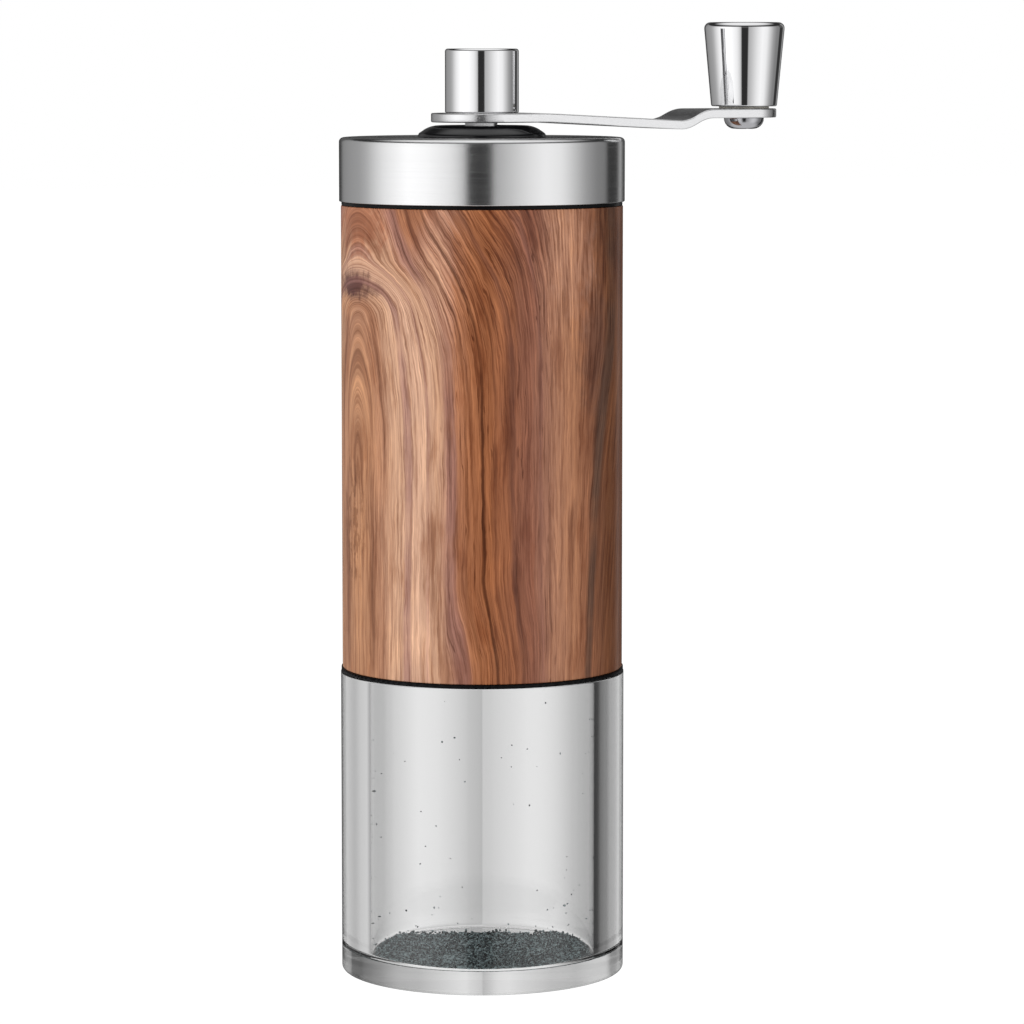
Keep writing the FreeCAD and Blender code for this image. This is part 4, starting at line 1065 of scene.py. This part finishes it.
@dataclass
class CoffeeBed:
    """A thin uneven bed of ground coffee on the cup's floor, and stray grains on its wall.

    The bed keeps clear of the cup's wall and leaves some of the floor bare at the far side. The
    grains' lift and sizes are lowest and highest values in millimetres.
    """

    floor: float = 3.4 * MM
    clear: float = 0.8 * MM
    wall: float = 5.1 * MM
    depth: float = 0.5 * MM
    bare: float = 7.6 * MM
    crumble: float = 1.6 * MM
    cell: float = 0.4 * MM
    heap: float = 1.6 * MM
    heap_width: float = 5.0 * MM
    speck_height: float = 42.0 * MM
    crowding: float = 2.2
    spread: float = 0.985
    grain_lift: Point = (-0.1, 0.5)
    grain_size: Point = (0.12, 0.34)
    speck_size: Point = (0.07, 0.21)
    seed: int = 11
    grains: int = 2200
    specks: int = 110

    def build(self) -> None:
        """Builds the bed, the grains and the specks as one piece."""
        radius, base, _ = span("powder_cup")
        self.reach = radius - self.wall - self.clear
        self.base = base + self.floor + 0.02 * MM
        draw = random.Random(self.seed)
        bed = self.bed()
        grains = self.scattered(draw)
        Bench.take(bed)
        grains.select_set(True)
        bpy.ops.object.join()
        bed.name = bed.data.name = "coffee_grounds"
        settle(Bench.smooth(bed, 50.0), Body.CUP, COFFEE)

    def bed(self) -> Piece:
        """Cuts a round of ground coffee from a fine grid, thickens it and raises heaps on it."""
        Bench.clear()
        cells = round(2 * self.reach / self.cell)
        place = (0.0, 0.0, self.base)
        bpy.ops.mesh.primitive_grid_add(
            x_subdivisions=cells, y_subdivisions=cells, size=self.reach * 2, location=place
        )
        bed = bpy.context.object
        bpy.ops.object.transform_apply()
        Bench.edit(bed)
        bpy.ops.mesh.select_mode(type="FACE")
        Bench.pick("DESELECT")
        Bench.mode("OBJECT")
        for face in bed.data.polygons:
            face.select = self.lies_bare(face.center) or face.center.xy.length > self.reach
        Bench.mode("EDIT")
        bpy.ops.mesh.delete(type="FACE")
        bpy.ops.mesh.select_mode(type="VERT")
        Bench.pick("SELECT")
        bpy.ops.mesh.extrude_region_move(TRANSFORM_OT_translate={"value": (0.0, 0.0, self.depth)})
        Bench.pick("SELECT")
        bpy.ops.mesh.normals_make_consistent(inside=False)
        Bench.mode("OBJECT")
        for point in bed.data.vertices:
            across = point.co.xy.length
            if across > self.reach:
                point.co.xy *= self.reach / across
        texture = bpy.data.textures.new("heaps", "CLOUDS")
        texture.noise_scale = self.heap_width
        texture.noise_depth = 5
        top = bed.vertex_groups.new(name="top")
        middle = self.base + self.depth / 2
        top.add([v.index for v in bed.data.vertices if v.co.z > middle], 1.0, "REPLACE")
        ways = {"texture_coords": "LOCAL", "direction": "Z", "vertex_group": top.name}
        Bench.modify(bed, "DISPLACE", texture=texture, strength=self.heap, **ways)
        return bed

    def lies_bare(self, place: Vector) -> bool:
        """Whether a place on the floor is beyond the bed's crumbling edge."""
        coarse = noise.noise(place * 0.25 / MM) + 0.6 * noise.noise(place * 0.9 / MM)
        towards = place.x * math.cos(FACING) + place.y * math.sin(FACING)
        return towards < self.bare - self.reach + coarse * self.crumble

    def scattered(self, draw: random.Random) -> Piece:
        """Scatters grains over the bed and a few specks up the wall."""
        Bench.clear()
        bpy.ops.mesh.primitive_ico_sphere_add(subdivisions=1, radius=1.0)
        seed = bpy.context.object
        mesh = seed.data
        points = [v.co.copy() for v in mesh.vertices]
        faces = [tuple(p.vertices) for p in mesh.polygons]
        all_points: list[Vector] = []
        all_faces: list[tuple[int, ...]] = []
        for place, size in self.places(draw):
            start = len(all_points)
            stretch = Vector([size * draw.uniform(0.6, 1.2) for _ in range(3)])
            turn = Matrix.Rotation(draw.uniform(0, math.tau), 3, "Z")
            turn = turn @ Matrix.Rotation(draw.uniform(0, 1.5), 3, "X") @ Matrix.Diagonal(stretch)
            all_points += [place + turn @ point for point in points]
            all_faces += [tuple(start + index for index in face) for face in faces]
        mesh = bpy.data.meshes.new("grains")
        mesh.from_pydata(all_points, [], all_faces)
        seed.data = mesh
        return seed

    def places(self, draw: random.Random) -> list[tuple[Vector, float]]:
        """Where each grain lies, and its size."""
        found = []
        for _ in range(self.grains):
            reach = self.reach * math.sqrt(draw.random()) * self.spread
            angle = draw.uniform(0, math.tau)
            height = self.base + self.depth + draw.uniform(*self.grain_lift) * MM
            size = draw.uniform(*self.grain_size) * MM
            place = Vector((reach * math.cos(angle), reach * math.sin(angle), height))
            if not self.lies_bare(place):
                found.append((place, size))
        for _ in range(self.specks):
            angle = draw.uniform(0, math.tau)
            height = self.base + self.depth + (draw.random() ** self.crowding) * self.speck_height
            size = draw.uniform(*self.speck_size) * MM
            reach = self.reach + self.clear - size * 1.25
            found.append((Vector((reach * math.cos(angle), reach * math.sin(angle), height)), size))
        return found


@dataclass
class Barrel:
    """The wood sleeve and the dark seam ring at its upper end."""

    wall: float = 0.65 * MM
    edge: float = 0.18 * MM
    seam_edge: float = 0.12 * MM
    seam_seat: float = 1.45 * MM

    def build(self) -> None:
        """Builds the sleeve and the upper seam's ring."""
        inner = span("wood_sleeve")[0] - self.wall
        sleeve = self.band("wood_sleeve_veneer", "wood_sleeve", inner, self.edge)
        settle(sleeve, Body.BARREL, WOOD, "wood_sleeve")
        inner = span("hopper_liner")[0] - self.seam_seat
        ring = self.band("upper_seam_ring", "top_trim_ring", inner, self.seam_edge)
        settle(ring, Body.BARREL, SEAM, "top_trim_ring")

    @staticmethod
    def band(name: str, node: str, inner: float, edge: float) -> Piece:
        """Turns a band with the node's own outside.

        Args:
            name: The band's name.
            node: The frame's node.
            inner: The band's inner radius.
            edge: The rounding of its outer edges.

        Returns:
            The band.
        """
        radius, low, high = span(node)
        profile = [(inner, low), (radius, low), (radius, high), (inner, high)]
        return Bench.smooth(Bench.lathe(name, profile, {1: edge, 2: edge}))


@dataclass
class Lid:
    """The brushed steel shell and the black boss round the shaft."""

    wall: float = 0.8 * MM
    hole: float = 8.0 * MM
    edge: float = 0.8 * MM
    rim: float = 0.15 * MM
    collar_bore: float = 3.3 * MM
    spigot: float = 7.9 * MM
    collar_edge: float = 0.55 * MM
    crown: float = 2.2 * MM
    gap: float = 0.05 * MM
    groove_depth: float = 0.6 * MM
    seat_round: float = 0.12 * MM
    brim_round: float = 0.4 * MM
    crown_round: float = 1.2 * MM
    bore_round: float = 0.25 * MM

    def build(self) -> None:
        """Builds the shell and the collar."""
        settle(self.shell(), Body.LID, BRUSHED, "lid_shell")
        settle(self.collar(), Body.LID, GLOSS_BLACK, "lid_collar")

    def shell(self) -> Piece:
        """Turns the drawn cap with its rolled upper edge."""
        radius, low, high = span("lid_shell")
        inner = radius - self.wall
        profile = [
            (inner, low), (radius, low), (radius, high), (self.hole, high),
            (self.hole, high - self.wall), (inner, high - self.wall),
        ]
        rounds = {0: self.rim, 1: self.rim, 2: self.edge, 3: self.rim}
        return Bench.smooth(Bench.lathe("lid_cap", profile, rounds))

    def collar(self) -> Piece:
        """Turns the low dome, its brim and the spigot below."""
        radius, low, high = span("lid_collar")
        seat = span("lid_shell")[2] + self.gap
        clip_low, clip_high = span("collar_clip")[1:]
        groove_low, groove_high = clip_low - self.gap, clip_high + self.gap
        neck = self.spigot - self.groove_depth
        profile = [
            (self.collar_bore, low), (self.spigot, low), (self.spigot, groove_low),
            (neck, groove_low), (neck, groove_high), (self.spigot, groove_high),
            (self.spigot, seat), (radius, seat), (radius, seat + self.collar_edge),
            (radius - self.crown, high), (self.collar_bore, high),
        ]
        rounds = {7: self.seat_round, 8: self.brim_round, 9: self.crown_round, 10: self.bore_round}
        return Bench.smooth(Bench.lathe("lid_boss", profile, rounds))


@dataclass
class Crank:
    """The chrome post over the shaft and the satin strip that carries the knob."""

    post_edge: float = 0.5 * MM
    shoulder_edge: float = 0.25 * MM
    spigot_edge: float = 0.2 * MM
    spigot: float = 5.0 * MM
    spigot_length: float = 1.65 * MM
    pentagon: float = 3.12 * MM
    socket_turn: float = 18.0
    socket_depth: float = 11.0 * MM
    strip: float = 1.6 * MM
    reach: float = 52.0 * MM
    hub_end: float = 8.9 * MM
    knob_end: float = 5.8 * MM
    drop: float = 1.48 * MM
    drop_start: float = 9.0 * MM
    jog_start: float = 37.3 * MM
    jog_run: float = 3.8 * MM
    jog_rise: float = 2.0 * MM
    bend: float = 1.6 * MM
    hole: float = 2.5 * MM
    edge: float = 0.22 * MM
    gap: float = 0.05 * MM

    def build(self) -> None:
        """Builds the post and the arm."""
        settle(self.post(), Body.CRANK, CHROME, "crank_socket")
        settle(self.arm(), Body.CRANK, SATIN, "crank_arm")

    def post(self) -> Piece:
        """Turns the post and cuts its five-sided socket."""
        radius, low, high = span("crank_socket")
        shoulder = low + self.spigot_length
        profile = [
            (0.0, low), (self.spigot, low), (self.spigot, shoulder), (radius, shoulder),
            (radius, high), (0.0, high),
        ]
        rounds = {1: self.spigot_edge, 3: self.shoulder_edge, 4: self.post_edge}
        post = Bench.lathe("crank_post", profile, rounds, closed=False)
        tool = Bench.bar(self.pentagon, low - MM, low + self.socket_depth, sides=5)
        Bench.take(tool)
        turn = math.radians(self.socket_turn)
        bpy.ops.transform.rotate(value=turn, orient_axis="Z", center_override=(0.0, 0.0, 0.0))
        bpy.ops.object.transform_apply()
        Bench.cut(post, tool)
        return Bench.smooth(post)

    def height_shift(self, x: float) -> float:
        """How far the strip stands above its hub end, at a distance along it."""
        slope = self.drop / (self.jog_start - self.drop_start)
        jog = self.jog_rise / self.jog_run
        turns = [
            (self.drop_start, -slope), (self.jog_start, slope + jog),
            (self.jog_start + self.jog_run, -jog),
        ]
        return sum(change * self.softened(x - place) for place, change in turns)

    def softened(self, past: float) -> float:
        """A ramp that starts with a bend in place of a corner."""
        if past <= -self.bend:
            return 0.0
        if past >= self.bend:
            return past
        return (past + self.bend) ** 2 / (4 * self.bend)

    def arm(self) -> Piece:
        """Wraps two discs in one outline, slices it along its length and bends it."""
        base = span("crank_socket")[1]
        hub = Bench.bar(self.hub_end, base, base + self.strip, sides=160)
        end = Bench.bar(self.knob_end, base, base + self.strip, self.reach, sides=128)
        Bench.take(hub)
        end.select_set(True)
        bpy.ops.object.join()
        arm = bpy.context.object
        arm.name = arm.data.name = "crank_strip"
        Bench.edit(arm)
        bpy.ops.mesh.convex_hull()
        Bench.pick("SELECT")
        bpy.ops.mesh.dissolve_limited(angle_limit=math.radians(0.5))
        Bench.mode("OBJECT")
        Bench.cut(
            arm,
            Bench.bar(self.hole, base - MM, base + self.strip + MM, self.reach),
            Bench.bar(self.spigot + self.gap, base - MM, base + self.strip + MM),
        )
        Bench.bevel(arm, self.edge)
        Bench.edit(arm)
        for place in self.slices():
            Bench.pick("SELECT")
            bpy.ops.mesh.bisect(plane_co=(place, 0.0, 0.0), plane_no=(1.0, 0.0, 0.0))
        Bench.mode("OBJECT")
        for vertex in arm.data.vertices:
            vertex.co.z += self.height_shift(vertex.co.x)
        return Bench.smooth(arm)

    def slices(self) -> list[float]:
        """Where the strip is sliced so that it can bend."""
        places = []
        for middle in (self.drop_start, self.jog_start, self.jog_start + self.jog_run):
            places += [middle + self.bend * step / 4 for step in range(-4, 5)]
        return sorted(places)


@dataclass
class Knob:
    """The tapered chrome knob and the screw that it turns on."""

    wall: float = 0.8 * MM
    low_radius: float = 5.9 * MM
    edge: float = 1.2 * MM
    rim: float = 0.3 * MM
    shoulder: float = 2.4 * MM
    thread: float = 1.95 * MM
    head_height: float = 2.0 * MM
    head_round: float = 1.9 * MM
    head_edge: float = 0.1 * MM
    tip_round: float = 0.3 * MM
    recess: float = 0.45 * MM
    recess_depth: float = 1.0 * MM
    overrun: float = 0.5 * MM
    axis: float = 0.0

    def build(self) -> None:
        """Builds the shell and the screw."""
        low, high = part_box("knob_shell")
        self.axis = (low.x + high.x) / 2
        settle(self.shell(), Body.KNOB, CHROME, "knob_shell")
        settle(self.screw(), Body.KNOB, SCREW, "knob_screw")

    def shell(self) -> Piece:
        """Turns the tapered shell, open at the bottom."""
        radius, low, high = span("knob_shell")
        profile = [
            (0.0, high), (radius, high), (self.low_radius, low),
            (self.low_radius - self.wall, low), (radius - self.wall, high - self.wall),
            (0.0, high - self.wall),
        ]
        rounds = {1: self.edge, 2: self.rim}
        return Bench.smooth(Bench.lathe("knob_cap", profile, rounds, self.axis, closed=False))

    def screw(self) -> Piece:
        """Turns the domed head and shank and cuts the cross recess."""
        radius, low, high = span("knob_screw")
        seat = low + self.head_height
        neck = span("knob_shell")[1]
        profile = [
            (0.0, low), (radius, low), (radius, seat), (self.shoulder, seat),
            (self.shoulder, neck), (self.thread, neck), (self.thread, high), (0.0, high),
        ]
        rounds = {1: self.head_round, 2: self.head_edge, 6: self.tip_round}
        screw = Bench.lathe("knob_pivot_screw", profile, rounds, self.axis, closed=False, steps=96)
        middle = (self.axis, 0.0, low + (self.recess_depth - self.overrun) / 2)
        for turn in (0.0, math.pi / 2):
            Bench.clear()
            bpy.ops.mesh.primitive_cube_add(size=1.0, location=middle)
            tool = bpy.context.object
            tool.scale = (radius * 1.2, self.recess * 2, self.recess_depth + self.overrun)
            tool.rotation_euler.z = turn
            bpy.ops.object.transform_apply()
            Bench.cut(screw, tool)
        Bench.bevel(screw, 0.05 * MM, 50.0, 2)
        return Bench.smooth(screw)


@dataclass
class InnerWorks:
    """Everything else: copies of the frame's own nodes with closed seams and smooth curves."""

    def build(self) -> None:
        """Finishes every node that no other piece stands for."""
        slot_of = {part["node"]: part["material_slot"] for part in frame["record"]["subparts"]}
        for node, source in frame["nodes"].items():
            if source.hide_render:
                continue
            finish = FINISH_OF[slot_of[node]]
            settle(Bench.polished_copy(node), Body(source["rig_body"]), finish, node)


# --- studio ---


@dataclass
class Studio:
    """A pale floor, a ring of soft panels and dark gaps, soft lamps and the camera."""

    # Panels that polished metal mirrors, and the backdrop that clear pieces show.
    PANELS: ClassVar[tuple[Point, ...]] = (
        (-180, 0.03), (-158, 0.06), (-150, 0.26), (-140, 0.31), (-116, 0.39), (-106, 0.5),
        (-95, 0.75), (-86, 0.95), (-62, 1.3), (-45, 1.22), (-35, 1.1), (-25, 0.97), (-19, 0.8),
        (-13, 0.55), (-11.5, 0.08), (-10, 0.03), (6, 0.03), (7.5, 0.08), (9.5, 0.48), (19, 0.6),
        (39, 0.92), (52, 1.07), (67, 0.98), (78, 0.71), (92, 0.4), (106, 0.25), (118, 0.23),
        (122, 0.03), (140, 0.05), (149, 0.42), (158, 0.08), (180, 0.03),
    )
    BACKDROP: ClassVar[tuple[Point, ...]] = (
        (-180, 0.5), (-178, 0.62), (-176, 0.73), (-173, 0.76), (-169, 0.66), (-160, 0.5),
        (-150, 0.46), (-146, 0.52), (-140, 0.6), (-129, 0.64), (-124, 0.35), (-105, 0.4),
        (-80, 0.9), (-62, 1.1), (-25, 0.8), (-15, 0.55), (0, 0.5), (9, 0.6), (39, 0.8), (67, 0.9),
        (92, 0.38), (114, 0.38), (119, 0.3), (122, 0.02), (129, 0.03), (134, 0.14), (146, 0.24),
        (154, 0.4), (162, 0.45), (169, 0.61), (175.5, 0.77), (180, 0.62),
    )

    # Lowest and highest height that each change of light runs over, and its share at each.
    HAZE: ClassVar[Span] = (0.0, 0.12, 0.0, 0.1)
    CANOPY: ClassVar[Span] = (0.34, 0.44, 0.0, 1.0)
    OVERHEAD: ClassVar[Span] = (0.6, 0.9, 0.0, 1.0)
    UNDERFOOT: ClassVar[Span] = (-0.85, -0.5, 1.0, 0.0)

    # How far out the floor turns from matt to glowing, in millimetres, and its share of glow.
    FLOOR_FADE: ClassVar[Span] = (40.0, 200.0, 0.75, 1.0)

    # Soft boxes: name, angle from the facing side, height, size and power.
    BOXES: ClassVar[tuple[tuple[str, float, float, float, float], ...]] = (
        ("left_box", -50, 0.75, 0.7, 3.6),
        ("right_box", 60, 0.7, 0.6, 1.5),
        ("back_box", 170, 0.8, 0.7, 1.5),
    )

    distance: float = 0.755
    eye_height: float = 0.162
    aim_height: float = 0.0814
    aim_side: float = 0.00526
    lens: float = 151.3
    sensor: float = 36.0
    box_distance: float = 0.9
    box_aim: float = 0.08
    floor_size: float = 12.0
    floor_level: float = -62.0 * MM

    def build(self) -> None:
        """Builds the surroundings."""
        self.camera()
        self.floor()
        self.surroundings()
        self.lamps()
        bpy.context.scene.view_settings.view_transform = "Standard"

    def camera(self) -> None:
        """Stands the camera on the facing side, looking slightly down."""
        towards = Vector((math.cos(FACING), math.sin(FACING), 0.0))
        rightwards = Vector((-math.sin(FACING), math.cos(FACING), 0.0))
        place = towards * self.distance + Vector((0.0, 0.0, self.eye_height))
        aim = rightwards * self.aim_side + Vector((0.0, 0.0, self.aim_height))
        data = bpy.data.cameras.new("studio_camera")
        data.lens = self.lens
        data.sensor_width = self.sensor
        data.clip_start = 0.01
        camera = bpy.data.objects.new("studio_camera", data)
        camera.location = place
        camera.rotation_euler = (aim - place).to_track_quat("-Z", "Y").to_euler()
        bpy.context.scene.collection.objects.link(camera)
        bpy.context.scene.camera = camera

    def floor(self) -> None:
        """Lays the pale floor."""
        Bench.clear()
        place = (0.0, 0.0, self.floor_level)
        bpy.ops.mesh.primitive_plane_add(size=self.floor_size, location=place)
        floor = bpy.context.object
        floor.name = "pale_floor"
        graph = Surface("pale_floor")
        reach = graph.around()[1]
        matt = graph.node("BsdfDiffuse", Color=(0.9, 0.9, 0.9))
        glow = graph.node("Emission", Color=(1.0, 1.0, 1.0), Strength=1.05)
        share = graph.ease(reach, *self.FLOOR_FADE)
        mixed = graph.shaders(share, matt.outputs[0], glow.outputs[0])
        floor.data.materials.append(graph.close(mixed))
        floor.visible_glossy = False
        floor.visible_transmission = False

    def surroundings(self) -> None:
        """Rings the grinder with panels: bright and dark by their angle from the facing side."""
        world = bpy.data.worlds.new("studio")
        world.use_nodes = True
        bpy.context.scene.world = world
        graph = Graph(world.node_tree)
        x, y, z = graph.facing_axes(graph.node("TexCoord").outputs["Generated"])
        share = graph.plus(graph.math("DIVIDE", graph.math("ARCTAN2", y, x), math.tau), 0.5)
        ring = self.ring(graph, share, self.PANELS)
        behind = self.ring(graph, share, self.BACKDROP)
        rays = graph.node("LightPath").outputs
        through = rays["Is Transmission Ray"]
        haze = graph.ease(z, *self.HAZE)
        mirrored = graph.math("MAXIMUM", graph.less(rays["Is Glossy Ray"], through), 0.0)
        light = graph.mix(through, ring, behind)
        light = graph.mix(1.0, light, graph.vector(haze, haze, haze), "LIGHTEN")
        for share, shade in (
            (graph.times(graph.ease(z, *self.CANOPY), mirrored), 0.03),
            (graph.ease(z, *self.OVERHEAD), 0.95),
            (graph.ease(z, *self.UNDERFOOT), 0.8),
            (rays["Is Camera Ray"], 1.0),
        ):
            light = graph.mix(share, light, (shade, shade, shade))
        background = graph.node("Background", Color=light, Strength=1.0)
        graph.node("OutputWorld", Surface=background.outputs[0])

    @staticmethod
    def ring(graph: Graph, share: object, panels: tuple[Point, ...]) -> Socket:
        """The panels' brightness at an angle, given as a share of a full turn from behind."""
        stops = [((degrees + 180) / 360, (light, light, light)) for degrees, light in panels]
        return graph.ramp(share, stops, "LINEAR")

    def lamps(self) -> None:
        """Hangs three soft boxes that light matt surfaces only."""
        for name, turn, height, size, power in self.BOXES:
            data = bpy.data.lights.new(name, "AREA")
            data.size = size
            data.energy = power
            lamp = bpy.data.objects.new(name, data)
            angle = FACING + math.radians(turn)
            reach = self.box_distance
            lamp.location = (math.cos(angle) * reach, math.sin(angle) * reach, height)
            aim = Vector((0.0, 0.0, self.box_aim)) - lamp.location
            lamp.rotation_euler = aim.to_track_quat("-Z", "Y").to_euler()
            lamp.visible_glossy = False
            lamp.visible_transmission = False
            lamp.visible_camera = False
            bpy.context.scene.collection.objects.link(lamp)


def main() -> None:
    """Builds the studio and every sub-assembly."""
    logging.basicConfig(level=logging.INFO, format="%(name)s: %(message)s")
    for maker in (Studio, PowderCup, CoffeeBed, Barrel, Lid, Crank, Knob, InnerWorks):
        maker().build()
        log.info("%s is done", maker.__name__)


if __name__ == "__main__":
    main()
